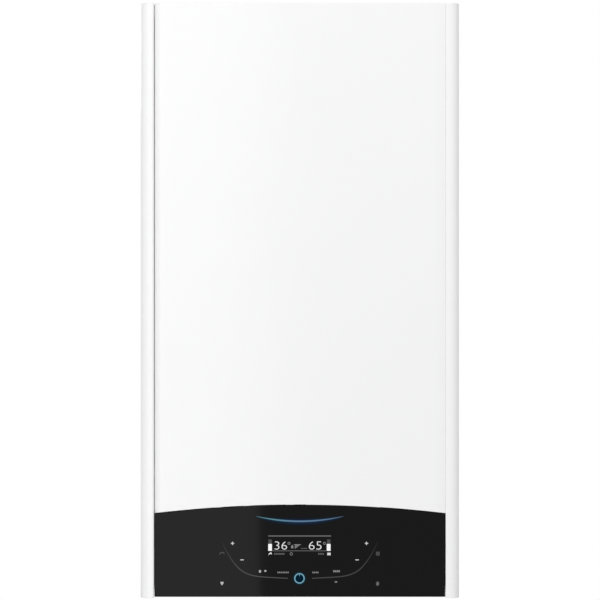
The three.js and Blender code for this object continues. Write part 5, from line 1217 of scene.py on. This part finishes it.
def makeFan():
    x, _, z = fanMiddle
    body = plate("fanHousing", scrollOutline(0, 405), -262, -217, castAlloy, 2.2)
    flange = brick("flange", -176.65, -130.65, -264, -215, 401, 405, castAlloy, 0.8)
    boss = [(0, -264), (35, -264), (38.4, -261.8), (38.4, -250), (0, -250)]
    merged(body, flange, turned("boss", boss, fanMiddle, castAlloy, "y", 72, 0.8))
    cut(body, plate("hollow", scrollOutline(2.5, 407), -259.5, -219.5, castAlloy, 0),
        hole(22, -221.5, -215, fanMiddle, "y", 56), hole(5.2, -266, -257, fanMiddle, "y", 32))
    rim = [(a, -239.5, min(b, 400)) for a, b in scrollOutline(-0.6, 400)]
    settle(joinedPieces(body, tubes("seam", [rim], 2.0, castAlloy, 20)), "fan_housing")
    motor = [(0, -298.3), (26, -298.3), (30, -294.3), (30, -286.3), (31, -285.3), (31, -268), (38, -268)]
    can = turned("fanMotor", [*motor, (38, -264.3), (0, -264.3)], fanMiddle, blackMoulded, "y", 80, 1.2)
    vent = brick("vent", x - 1.1, x + 1.1, -299.6, -297.1, z + 11, z + 22, blackMoulded, 0)
    cut(can, repeated(vent, 18, blackMoulded, turn=(0, math.radians(20), 0), centre=fanMiddle))
    merged(can, brick("plug", x - 10, x + 10, -290.3, -270.3, z - 38, z - 20, blackMoulded, 1.2))
    settle(cut(can, hole(3.1, -279.3, -263, fanMiddle)), "fan_motor")
    motorScrews = [(a, -268, b) for a, b in ringPlaces(x, z, 34.2, range(15, 375, 90))]
    heads("fanMotorScrews", motorScrews, 2.1, 1.7, 3.0)
    flangeScrews = [(a, b, 409.3) for a in (-172.4, -134.9) for b in (-260.5, -218.5)]
    heads("fanFlangeScrews", flangeScrews, 2.4, 2.4, 3.4, aim="up", sides=6)


def makeDuct():
    x, y = -153.65, -239.5
    corners = [(x, y, 406.3), (x, y, 435.3), (x, -268, 471.3), (x, -268, 520), (-56.3, -268, 520)]
    pipe = tubes("mixtureDuct", [bentLine(corners, 30, 12)], 18, castAlloy, 48)
    base = plate("base", roundRect(-176.65, -130.65, -264, -215, 5), 405.3, 409.3, castAlloy, 0.8, "z")
    collar = turned("collar", [(0, -66), (22, -66), (22, -56.3), (0, -56.3)], (0, -268, 520), castAlloy, "x", 56, 1)
    beads = [turned("bead", [(17, z), (19.4, z), (19.4, z + 4), (17, z + 4), (17, z)], (x, -268, 0), castAlloy, "z", 56,
                    1.1) for z in (483, 491)]
    settle(merged(pipe, base, collar, *beads), "mixture_duct")


def makeMixer():
    body = [(21, -216.7), (36, -216.7), (36, -212.7), (31, -210.7), (31, -164.7), (19.5, -164.7), (14, -186.7)]
    mixer = turned("airGasMixer", [*body, (14, -194.7), (21, -216.7)], fanMiddle, castAlloy, "y", 72, 1)
    port = tubes("port", [nutLine((-55, -190.7, 330), (-66, -190.7, 330), 11)], 13, castAlloy, 6)
    settle(merged(mixer, port), "air_gas_mixer")


silencer = {"radius": 22, "wall": 2.5, "ribPitch": 9, "rib": 0.045, "ribbed": (362, 542)}


def makeSilencer():
    radius, wall, rib = silencer["radius"], silencer["wall"], silencer["rib"]
    low, high = silencer["ribbed"]
    corners = [(-95, -164.4, 330), (-95, -125, 330), (-150, -125, 330), (-150, -125, 560)]
    line = [Vector(p) for p in bentLine(corners, 26, 14)]
    ribbed = []
    for p, _ in walkedLine(line, 1.5):
        along = (p.z - low) / silencer["ribPitch"]
        wave = max(0.0, math.cos(2 * math.pi * (along % 1.0 - 0.5))) ** 2
        ribbed.append((p, 1.0 - rib + rib * wave if low < p.z < high else 1.0))
    pipe = tubes("airSilencer", [ribbed], radius, blackMoulded, 48)
    inside = [line[0] - Vector((0, 2, 0)), *line[1:-1], line[-1] + Vector((0, 0, 2))]
    settle(cut(pipe, tubes("hollow", [inside], radius - wall, blackMoulded, 48)), "air_silencer")


makeDoor()
makeFan()
makeDuct()
makeMixer()
makeSilencer()
print("combustion parts made")


# ---- Gas valve

gasValveSet = {"x": 40, "y": -198.7, "front": -232.7, "rear": -164.7, "z": 330, "coil": 18}


def makeGasValve():
    x, y, front, rear, z = (gasValveSet[k] for k in ("x", "y", "front", "rear", "z"))
    body = brick("gasValve", x - 27, x + 27, front, rear, z - 38, z + 38, castAlloy, 2.2)
    inlet = [(0, 280), (16, 280), (16, 290), (13.5, 293), (0, 294)]
    parts = [turned("inlet", inlet, (x, y, 0), castAlloy, "z", 48, 0.8),
             turned("outlet", [(0, 5), (16, 5), (16, 13), (0, 15)], (0, -190.7, z), castAlloy, "x", 48, 0.8),
             turned("regulator", [(0, 65), (13, 65), (13, 75), (0, 75)], (0, y, z), castAlloy, "x", 40, 0.8)]
    coils = [(x, 0, z + side * gasValveSet["coil"]) for side in (-1, 1)]
    coil = [(0, 1), (15, 1), (15, -8), (14, -9), (14, -22), (15, -23), (15, -26), (0, -26)]
    parts += [turned("coil", [(r, front + a) for r, a in coil], place, castAlloy, "y", 48, 0.7) for place in coils]
    parts += [brick("connector", x - 14, x + 14, front - 14, front + 1, z + 36, z + 50, castAlloy, 1.2),
              brick("web", x - 20, x + 20, front - 3, front + 1, z - 30, z + 30, castAlloy, 1.2)]
    settle(merged(body, *parts), "gas_valve")
    heads("gasValveScrews", [(x + a, front, z + b) for a in (-22.5, 22.5) for b in (-33, 33)], 2.4, 2.2, 3.3)
    nuts = [(place[0], front - 25.9, place[2]) for place in coils]
    heads("gasValveNuts", nuts, 4.2, 3.0, 5.6, sides=6, material=turnedBrass)
    windings = []
    for place in coils:
        for k in range(6):
            lip = front - 10.6 - 2 * k
            wire = [(13.9, lip), (14.7, lip - 0.4), (14.7, lip - 1.2), (13.9, lip - 1.6), (13.9, lip)]
            windings.append(turned("winding", wire, place, blackMoulded, "y", 48, 0.2))
    settle(joinedPieces(*windings), body="carcass", slot="black_plastic").name = "gasValveWindings"


makeGasValve()
print("gas valve made")


# ---- Pump, air vent and the two manifolds

pump = {"x": 128, "z": 188, "front": -144, "end": -230.3, "motor": 43, "fins": 26}


def makePump():
    x, z, front, end, radius = (pump[k] for k in ("x", "z", "front", "end", "motor"))
    middle = (x, 0, z)
    seat = front - 0.3
    can = [(0, end), (13, end), (14, end + 4), (radius - 7, end + 4), (radius, end + 12), (radius, seat - 18)]
    can += [(radius + 3, seat - 14), (radius + 3, seat), (0, seat)]
    motor = turned("pumpMotor", can, middle, greyMoulded, "y", 96, 1.6)
    box = brick("box", x - 30, x + 30, end + 14, seat - 22, z, z + radius + 12, greyMoulded, 3)
    lid = brick("lid", x - 27, x + 27, end + 17, seat - 25, z + radius + 11, z + radius + 12.8, greyMoulded, 0.8)
    fin = brick("fin", x - 0.9, x + 0.9, end + 15, seat - 19, z + radius - 2, z + radius + 1.6, greyMoulded, 0)
    fins = repeated(fin, pump["fins"], greyMoulded, turn=(0, 2 * math.pi / pump["fins"], 0), centre=middle)
    merged(motor, fins, box, lid)
    settle(cut(motor, hole(5.1, end + 20, seat + 1, middle, "y", 28)), "pump_motor")
    knob = [(0, end + 0.2), (9, end + 0.2), (9, end - 0.2), (7, end - 1.6), (0, end - 1.6)]
    settle(turned("pumpVentScrew", knob, middle, turnedBrass, "y", 40, 0.5), body="carcass", slot="brass")
    screws = [(a, seat - 13.6, b) for a, b in ringPlaces(x, z, radius + 1.9, range(-75, 125, 50))]
    heads("pumpScrews", screws, 2.6, 2.6, 3.6)
    casing = [(0, 0), (48, 0), (48, 22), (39, 39.6), (28, 44), (0, 44)]
    housing = turned("pumpHousing", [(r, front + a) for r, a in casing], middle, castIron, "y", 96, 3)
    merged(housing, rod("lower", 15, seatZ, z, (x, lineY, 0), castIron, "z", 48, 0.5),
           rod("upper", 15, z, 250, (x, lineY, 0), castIron, "z", 48, 0.5),
           tubes("lowerNut", [nutLine((x, lineY, seatZ), (x, lineY, 132), 11.7)], 21, castIron, 6),
           tubes("upperNut", [nutLine((x, lineY, 238), (x, lineY, 250), 12)], 20, castIron, 6),
           rod("arm", 11, 68, 98, (0, lineY, 202), castIron, "x", 40, 0.8))
    cut(housing, hole(34, front - 1, front + 20, middle, "y", 64), hole(3.15, front + 19, front + 30, middle))
    settle(housing, "pump_housing")
    vent = [(0, 180), (10, 180), (15, 186), (15, 206), (14.4, 207), (14.4, 209), (15, 210), (15, 236), (12, 240)]
    body = turned("airVent", [*vent, (6, 240), (6, 246), (0, 246)], (52.7, lineY, 0), turnedBrass, "z", 64, 0.7)
    settle(merged(body, brick("flat", 62.7, 67.7, -130, -114, 194, 210, turnedBrass, 0.8)), "air_vent")


def barrelParts(name, x0, x1):
    middle = (0, lineY, barrelZ)
    ends = [(0, x0), (19, x0), (22, x0 + 3), (22, x1 - 3), (19, x1), (0, x1)]
    parts = [turned(name, ends, middle, turnedBrass, "x", 64, 0.8)]
    for x in (x0 + 6, x1 - 10):
        bead = [(20, x), (22.8, x + 0.6), (22.8, x + 3.4), (20, x + 4), (20, x)]
        parts.append(turned("bead", bead, middle, turnedBrass, "x", 64, 0.5))
    return parts


def platePorts(side):
    return [rod("port", 12, lineY, -99.3, (side * 84, 0, z), turnedBrass, "y", 36, 0.5) for z in (53.8, 100.8)]


def upright(radius, low, high, x):
    return rod("port", radius, low, high, (x, lineY, 0), turnedBrass, "z", 44, 0.6)


def frontPort(radius, x, z):
    return rod("port", radius, -150, lineY, (x, 0, z), turnedBrass, "y", 44, 0.6)


def makeManifolds():
    barrel, *parts = barrelParts("flowManifold", -158, -47)
    parts += [upright(20, 43.5, 120, -130), upright(14, barrelZ, 120, -90), upright(9, barrelZ, 120, -60)]
    parts += [frontPort(11, -144, barrelZ), frontPort(8, -83, barrelZ)]
    merged(barrel, *parts, *[upright(14, 44.5, barrelZ, x) for x in (-130, -65)], *platePorts(-1))
    cut(barrel, hole(8.15, 51.75, 121, (-130, lineY, 0), "z", 48))
    for x, radius in ((-130, 13.2), (-65, 10.5)):
        joinedPieces(barrel, *tail("tail", x, radius, turnedBrass))
    settle(barrel, "flow_manifold")
    cold, drain = (65, lineY, 0), (140, 0, 73.75)
    barrel, *parts = barrelParts("returnManifold", 47, 158)
    parts += [upright(17, barrelZ, 120, 128), frontPort(8, drain[0], drain[2])]
    merged(barrel, *parts, *[upright(14, 42.5, barrelZ, x) for x in (65, 130, 97.5)], *platePorts(1))
    cut(barrel, hole(7.7, 3, 89.75, cold, "z", 40), hole(1.6, 88.75, 93.75, cold, "z"),
        hole(4.1, 39.5, 61.5, (97.5, lineY, 0), "z", 28), hole(2.6, -151, -138, drain))
    returnTail = tail("tail", 130, 13.2, turnedBrass)
    stub, nut = tail("tail", cold[0], 10.5, turnedBrass)
    cut(stub, hole(7.7, 3, 60, cold, "z", 40))
    cut(nut, hole(9, 3, 60, cold, "z", 40))
    settle(joinedPieces(barrel, *returnTail, stub, nut), "return_manifold")


def makeValves():
    middle = (-130, lineY, 0)
    motor = plate("diverterMotor", roundRect(-152, -108, -146, -102, 6), seatZ + 10, seatZ + 66, whiteMoulded, 1.6, "z")
    cap = [(0, 65), (12, 65), (12, 70), (9, 72), (0, 72)]
    merged(motor, rod("collar", 17, seatZ, seatZ + 11, middle, whiteMoulded, "z", 48, 0.8),
           turned("cap", [(r, seatZ + a) for r, a in cap], middle, whiteMoulded, "z", 40, 0.6),
           brick("rim", -152.6, -107.4, -146.6, -101.4, seatZ + 36, seatZ + 38, whiteMoulded, 0.4))
    settle(cut(motor, hole(3.15, seatZ - 1, 138, middle, "z", 28)), "diverter_motor")
    middle = (-144, 0, barrelZ)
    valve = tubes("safetyValve", [nutLine((-144, seatY - 26, barrelZ), (-144, seatY, barrelZ), 26)], 12, turnedBrass, 6)
    spout = [(0, 53.75), (5.6, 53.75), (7, 55), (7, 79), (0, barrelZ)]
    merged(valve, turned("spout", spout, (-144, seatY - 14, 0), turnedBrass, "z", 40, 0.5),
           rod("collar", 12.4, seatY - 8, seatY - 4, middle, turnedBrass, "y", 48, 0.8))
    settle(cut(valve, hole(3.15, seatY - 27, seatY - 14, middle, "y", 28)), "safety_valve")
    sensor = rod("pressureSensor", 8, seatY - 18, seatY, (-83, 0, barrelZ), greyMoulded, "y", 44, 0.6)
    nut = tubes("hexagon", [nutLine((-83, seatY - 8, barrelZ), (-83, seatY - 2, barrelZ), 6)], 10, greyMoulded, 6)
    plug = brick("plug", -89, -77, seatY - 30, seatY - 17, 74.75, 84.75, greyMoulded, 0.8)
    settle(merged(sensor, nut, plug), "pressure_sensor")


knobs = {"flutes": 8, "steps": 96, "depth": 0.12}


def flutedKnob(name, node, length, stemRadius, stemLength, material, place):
    # The rim dips between eight grips; the stem runs on from its back.
    outline = []
    for k in range(knobs["steps"]):
        turn = 2 * math.pi * k / knobs["steps"]
        reach = 15 * (1 - knobs["depth"] * max(0.0, math.cos(turn * knobs["flutes"])) ** 3)
        outline.append((reach * math.cos(turn), reach * math.sin(turn)))
    head = plate(name, outline, 0, length, material, 1.4, "z")
    dish = turned("dish", [(0, -1), (9.6, -1), (8.8, 0.9), (0, 0.9)], (0, 0, 0), material, "z", 48, 0)
    mark = brick("mark", -0.9, 0.9, 2.2, 8.4, 0.3, 1.2, material, 0.2)
    stem = rod("stem", stemRadius, length - 1, length + stemLength, (0, 0, 0), material, "z", 40, 0.4)
    merged(cut(head, dish), stem, mark)
    for v in head.data.vertices:
        v.co = at(*place(v.co.x / mm, v.co.y / mm, (v.co.z - foot) / mm))
    settle(head, node)


def makeKnobs():
    flutedKnob("safetyKnob", "safety_knob", 16, 3, 12, redMoulded, lambda x, y, z: (x - 144, z - 192.6, barrelZ - y))
    flutedKnob("fillingKnob", "filling_knob", 15, 4, 36.5, blueMoulded, lambda x, y, z: (x + 97.5, y + lineY, z + 19))


plates = {"count": 22, "width": 196, "foot": 39.8, "height": 75, "front": -94, "depth": 56, "sheet": 0.8}


def makePlates():
    # Plates, one behind another.
    half, low, high = plates["width"] / 2, plates["foot"], plates["foot"] + plates["height"]
    front, rear = plates["front"], plates["front"] + plates["depth"]
    pitch = plates["depth"] / plates["count"]
    first = plate("plateExchanger", roundRect(-half, half, low, high, 13), front, front + pitch * 0.62,
                  stainlessSheet, 0.4)
    rims = repeated(first, plates["count"], stainlessSheet, step=(0, pitch, 0))
    inner = roundRect(-half + 1.6, half - 1.6, low + 1.6, high - 1.6, 11.5)
    ports = [rod("port", 10, -99, -93, (x, 0, z), stainlessSheet, "y", 36, 0.5)
             for x in (-84, 84) for z in (53.8, 100.8)]
    core = plate("core", inner, front + 0.5, rear - 0.7, stainlessSheet, 0)
    settle(joinedPieces(rims, core, *ports), "plate_exchanger")


makePump()
makeManifolds()
makeValves()
makeKnobs()
makePlates()
print("water parts made")


# ---- Turning parts: fan wheel, pump wheel, turbine, spindle, drain tap

fanWheel = {"blades": 9, "front": -252.5, "rear": -226.5, "eye": 22, "rim": 43, "sweep": 0.62, "thick": 1.3}


def makeFanWheel():
    front, rear, eye, rim = (fanWheel[k] for k in ("front", "rear", "eye", "rim"))
    outline = []
    for offset, order in ((0.0, range(11)), (fanWheel["thick"], range(10, -1, -1))):
        for k in order:
            radius = eye - 1 + (rim - 0.5 - eye) * k / 10
            turn = k / 10 * fanWheel["sweep"] + offset / radius
            outline.append((fanMiddle[0] + math.cos(turn) * radius, fanMiddle[2] + math.sin(turn) * radius))
    blade = plate("fanImpeller", outline, front + 0.8, rear - 0.7, blackMoulded, 0)
    count = fanWheel["blades"]
    blades = repeated(blade, count, blackMoulded, turn=(0, -2 * math.pi / count, 0), centre=fanMiddle)
    disc = [(0, -277), (3, -277), (3, front), (rim, front), (rim, front + 1.6), (10, front + 1.6), (7, front + 15)]
    shroud = [(eye + 1, rear - 1.4), (rim, rear - 1.4), (rim, rear), (eye + 1, rear), (eye + 1, rear - 1.4)]
    settle(joinedPieces(blades, turned("disc", [*disc, (0, front + 15)], fanMiddle, blackMoulded, "y", 72, 0.4),
                        turned("shroud", shroud, fanMiddle, blackMoulded, "y", 72, 0.3)), "fan_impeller")


def makePumpWheel():
    middle, front = (pump["x"], 0, pump["z"]), -141
    vane = brick("pumpRotor", 135, 158, front + 1, front + 11, 187, 189, stainlessSheet, 0)
    swung(vane, middle, (0, 1, 0), 0.5)
    vanes = repeated(vane, 6, stainlessSheet, turn=(0, math.pi / 3, 0), centre=middle)
    disc = [(0, -208.3), (5, -208.3), (5, front), (31, front), (31, front + 2), (9, front + 2), (9, front + 8)]
    disc += [(3, front + 8), (3, -116), (0, -116)]
    cover = [(12, front + 10), (31, front + 10), (31, front + 12), (12, front + 12), (12, front + 10)]
    settle(joinedPieces(vanes, turned("disc", disc, middle, stainlessSheet, "y", 64, 0.3),
                        turned("cover", cover, middle, stainlessSheet, "y", 64, 0.3)), "pump_rotor")


def makeSmallMovers():
    middle = (65, lineY, barrelZ)
    blade = brick("flowTurbine", 66, 71.2, -122.6, -121.4, 72.75, 86.75, blueMoulded, 0.3)
    swung(blade, middle, (1, 0, 0), math.pi / 7)
    blades = repeated(blade, 4, blueMoulded, turn=(0, 0, math.pi / 2), centre=middle)
    hub = [(0, 71.75), (2.6, 71.75), (2.6, 87.75), (1.5, 87.75), (1.5, 92.75), (0, 92.75)]
    settle(joinedPieces(blades, turned("hub", hub, (65, lineY, 0), blueMoulded, "z", 32, 0.3)), "flow_turbine")
    stem = [(0, 61.75), (8, 61.75), (8, 68.75), (3, 68.75), (3, 87.75), (8, 87.75), (8, 94.75), (3, 94.75)]
    stem += [(3, 136.3), (0, 136.3)]
    settle(turned("diverterSpindle", stem, (-130, lineY, 0), stainlessSheet, "z", 48, 0.4), "diverter_spindle")
    body = tubes("drainCock", [nutLine((140, seatY - 12, 73.75), (140, seatY, 73.75), 12)], 6, blackMoulded, 6)
    lever = plate("lever", roundRect(128, 152, 71.25, 76.25, 2.4, 5), seatY - 15, seatY - 11, blackMoulded, 0.8)
    merged(body, rod("stem", 2.5, seatY - 1, -140, (140, 0, 73.75), blackMoulded, "y", 32, 0.2), lever)
    settle(body, "drain_cock")
    peg = [(0, -274.7), (2.5, -274.7), (4, -271.7), (4, -258.7), (0, -258.7)]
    shank = [(0, 1.7), (4.6, 1.7), (4.6, 4.7), (2.5, 4.7), (2.5, 17.5), (0, 17.5)]
    for side, word in ((1, "right"), (-1, "left")):
        settle(turned(word + "CoverPeg", peg, (side * 120, 0, 720), zincSheet, "y", 48, 0.7), word + "_cover_peg")
        x, y = side * 190.3, -271
        screw = turned(word + "CoverScrew", shank, (x, y, 0), zincSheet, "z", 48, 0.6)
        merged(screw, tubes("nut", [nutLine((x, y, 12.8), (x, y, 16.5), 3.7)], 4.6, zincSheet, 6))
        cut(screw, brick("slot", x - 4, x + 4, y - 0.6, y + 0.6, 0.7, 2.7, zincSheet, 0))
        settle(screw, word + "_cover_screw")


# ---- Exchanger coil and burner tube inside the shell

coil = {"turns": 5.5, "radius": 74, "radial": 24, "axial": 11, "rear": -125, "front": -207.5, "end": 125,
        "perTurn": 40, "around": 20}


def makeCoil():
    half, thick, wide = coil["radial"] / 2, coil["axial"] / 2, coil["around"]
    rear, front, radius = coil["rear"], coil["front"], coil["radius"]
    section = []
    for k in range(wide):
        turn = 2 * math.pi * (k + 0.5) / wide
        c, s = math.cos(turn), math.sin(turn)
        section.append((math.copysign(half - thick, c) * (abs(c) ** 0.4) + thick * c, thick * s))
    steps = round(coil["turns"] * coil["perTurn"])
    path = [(coil["end"], rear, radius, math.pi / 2)]
    for share in [i / steps for i in range(steps + 1)]:
        turn = math.pi / 2 + share * coil["turns"] * 2 * math.pi
        path.append((math.cos(turn) * radius, rear + share * (front - rear), math.sin(turn) * radius, turn))
    path.append((coil["end"], front, -radius, -math.pi / 2))
    points = [at(x + r * math.cos(turn), y + a, burner["z"] + z + r * math.sin(turn))
              for x, y, z, turn in path for r, a in section]
    faces = [tuple(range(wide)), tuple(range(len(points) - 1, len(points) - wide - 1, -1))]
    for near in range(0, len(points) - wide, wide):
        far = near + wide
        faces += [(near + j, near + (j + 1) % wide, far + (j + 1) % wide, far + j) for j in range(wide)]
    settle(shaded(meshFrom("exchangerCoil", points, faces, stainlessSheet), 50), "exchanger_coil")
    tube = [(33.8, -232), (41, -232), (41, -230.5), (35, -230.5), (35, -150), (27, -144), (0, -144), (0, -145.2)]
    tube += [(26, -145.2), (33.8, -151), (33.8, -232)]
    settle(turned("burnerTube", tube, (0, 0, burner["z"]), stainlessSheet, "y", 80, 0.4), "burner_tube")


# ---- Control box inside: board with its parts, and screws

# Each set on the board: place from its left edge, width, place from its lower edge, height, how far it stands out,
# material, edge, count and pitch.
boardSets = {
    "relays": (12, 16, 20, 28, 13, blueMoulded, 0.8, 4, 19),
    "transformer": (-50, 38, 16, 34, 22, blackMoulded, 1.4, 1, 0),
    "terminals": (12, 7.2, 3, 10, 11, redMoulded, 0.5, 10, 7.6),
    "plugs": (-88, 11.6, 60, 10, 10, whiteMoulded, 0.5, 6, 12.7),
    "resistors": (100, 2.2, 52, 6.5, 2.2, insulator, 0.6, 14, 4.6),
    "pins": (100, 0.7, 30, 0.7, 7, turnedBrass, 0, 18, 2.54),
}


def makeBoard():
    low, high = (Vector((p.x, p.y, p.z - foot)) / mm for p in nodeBox("main_board"))
    face = high.y - 1.6
    outline = roundRect(low.x, high.x, low.z, high.z, 2, 4)
    settle(plate("mainBoard", outline, face, high.y, circuitBoard, 0.2), "main_board")
    for name, (x0, width, rise, height, reach, material, edge, count, pitch) in boardSets.items():
        # A place below zero counts from the right edge.
        x, z = (low.x if x0 > 0 else high.x) + x0, low.z + rise
        part = brick(name, x, x + width, face - reach, face + 0.3, z, z + height, material, edge)
        if count > 1:
            repeated(part, count, material, step=(pitch, 0, 0))
        settle(part, body="control_box", slot="circuit")
    can = rod("capacitor", 9, face - 20, face + 0.3, (high.x - 68, 0, low.z + 32), stainlessSheet, "y", 48, 1)
    settle(can, body="control_box", slot="circuit")


def makeFasteners():
    sides = (-1, 1)
    heads("trayScrews", [(x, -246.2, z) for x in (-150, 150) for z in (20, 88)], 2.6, 2.0, 3.8, "control_box", "back")
    wiring = [(x, -243.5, z) for x in (-66, 66) for z in (24, 78)]
    heads("wiringCoverScrews", wiring, 2.2, 1.8, 3.2, "control_box", "back")
    heads("hingeScrews", [(side * 188, -219.2, z) for side in sides for z in (12, 26)], 2.6, 2.2, 3.8)
    heads("topPlateScrews", [(x, y, 734) for x in (-188, 188) for y in (-40, -130, -230)], 2.6, 2.0, 4.0, aim="up")
    heads("sideFoldScrews", [(side * 192, -258.65, z) for side in sides for z in (60, 250, 450, 650)], 2.4, 1.8, 3.6)
    collar = ringPlaces(*flueParts["axis"][:2], 0.88 * flueParts["flange"], range(45, 405, 90))
    heads("collarScrews", [(x, y, flueParts["seat"] + 2.5) for x, y in collar], 2.4, 2.0, 3.6, aim="up")
    heads("hangerRivets", [(x, -3.2, 697) for x in (-80, -30, 30, 80)], 3.2, 1.2, 4.2)


makeFanWheel()
makePumpWheel()
makeSmallMovers()
makeCoil()
makeBoard()
makeFasteners()
print("turning parts, coil, board and screws made")


# ---- Every other carried-over node: sheets and housings with broken edges

for node in list(nodes):
    if not nodes[node].hide_render:
        cadCopy(node, "dressed." + node)
print("carried-over pieces dressed")


# ---- Light, floor and camera

studio = {
    "worldAhead": 1.0,
    "worldAside": 0.43,
    "worldFrom": (-0.22, -0.95, 0.22),
    "floorDrop": 1.2,
    "floorSize": 24,
    "floorColor": (0.9, 0.9, 0.905),
    "floorGlow": 0.28,
    "cardEdge": -0.120,
    "cardDistance": 5.7,
    "cardWidth": 3.4,
    "cardHeight": 5.0,
    "cardRadiance": 1.55,
}


def makeWorld():
    world = bpy.data.worlds.new("studio")
    bpy.context.scene.world = world
    world.use_nodes = True
    tree = world.node_tree
    background = tree.nodes["Background"]
    background.inputs["Color"].default_value = (1, 1, 1, 1)
    path = tree.nodes.new("ShaderNodeLightPath")
    seen = path.outputs["Is Camera Ray"]
    for ray in ("Is Glossy Ray", "Is Transmission Ray"):
        seen = treeNode(tree, "ShaderNodeMath", "MAXIMUM", s0=seen, s1=path.outputs[ray]).outputs[0]
    # What lights the matt surfaces comes more from ahead and from the left than from beside and behind.
    place = tree.nodes.new("ShaderNodeTexCoord")
    facing = treeNode(tree, "ShaderNodeVectorMath", "DOT_PRODUCT", s0=place.outputs["Generated"],
                      s1=studio["worldFrom"])
    ahead = treeNode(tree, "ShaderNodeMapRange", Value=facing.outputs["Value"], To_Min=studio["worldAside"],
                     To_Max=studio["worldAhead"])
    strength = treeNode(tree, "ShaderNodeMapRange", Value=seen, To_Min=ahead.outputs["Result"], To_Max=1.0)
    tree.links.new(strength.outputs["Result"], background.inputs["Strength"])


def areaLight(name, place, target, width, height, radiance):
    data = bpy.data.lights.new(name, "AREA")
    data.shape = "RECTANGLE"
    data.size = width
    data.size_y = height
    data.energy = radiance * width * height * math.pi
    lamp = bpy.data.objects.new(name, data)
    bpy.context.scene.collection.objects.link(lamp)
    lamp.location = place
    lamp.rotation_euler = (Vector(target) - Vector(place)).to_track_quat("-Z", "Y").to_euler()
    return lamp


def makeLights():
    middle = (cadBounds[0] + cadBounds[1]) / 2
    x = studio["cardEdge"] - studio["cardWidth"] / 2
    y = cadBounds[0].y - studio["cardDistance"]
    areaLight("leftCard", (x, y, middle.z), (x, 0, middle.z), studio["cardWidth"], studio["cardHeight"],
              studio["cardRadiance"])
    areaLight("topFill", (0.1, -1.45, cadBounds[1].z + 0.75), middle, 1.0, 0.5, 1.6)
    areaLight("rearFill", (-1.5, 3.2, middle.z + 1.6), middle, 2.4, 2.4, 0.9)


def makeFloor():
    half = studio["floorSize"] / 2
    z = foot - studio["floorDrop"]
    floorPaint, floorShader = newMaterial("floorPaint", studio["floorColor"], 0.8)
    floorShader.inputs["Emission Color"].default_value = (1, 1, 1, 1)
    path = addNode(floorPaint, "ShaderNodeLightPath")
    glow = mapRange(floorPaint, path.outputs["Is Camera Ray"], 0.0, studio["floorGlow"], 0, 1)
    link(floorPaint, glow, floorShader.inputs["Emission Strength"])
    points = [(-half, -half, z), (half, -half, z), (half, half, z), (-half, half, z)]
    floor = meshFrom("floor", points, [(0, 1, 2, 3)], floorPaint)


photo = {
    "width": 600,
    "left": 139.7,
    "right": 460.0,
    "top": 3.8,
    "bottom": 597.5,
    "lens": 200,
    "sensor": 36,
}


def makeCamera():
    low, high = cadBounds
    across = (high.x - low.x) / (photo["right"] - photo["left"])
    upward = (high.z - low.z) / (photo["bottom"] - photo["top"])
    perPixel = (across + upward) / 2
    middle = photo["width"] / 2
    x = (low.x + high.x) / 2 + (middle - (photo["left"] + photo["right"]) / 2) * perPixel
    z = (low.z + high.z) / 2 + ((photo["top"] + photo["bottom"]) / 2 - middle) * perPixel
    distance = perPixel * photo["width"] * photo["lens"] / photo["sensor"]
    data = bpy.data.cameras.new("camera")
    data.lens = photo["lens"]
    data.sensor_width = photo["sensor"]
    camera = bpy.data.objects.new("camera", data)
    bpy.context.scene.collection.objects.link(camera)
    camera.location = (x, low.y - distance, z)
    camera.rotation_euler = (math.pi / 2, 0, 0)
    bpy.context.scene.camera = camera


makeWorld()
makeLights()
makeFloor()
makeCamera()
bpy.context.scene.view_settings.view_transform = "Standard"
print("studio made")
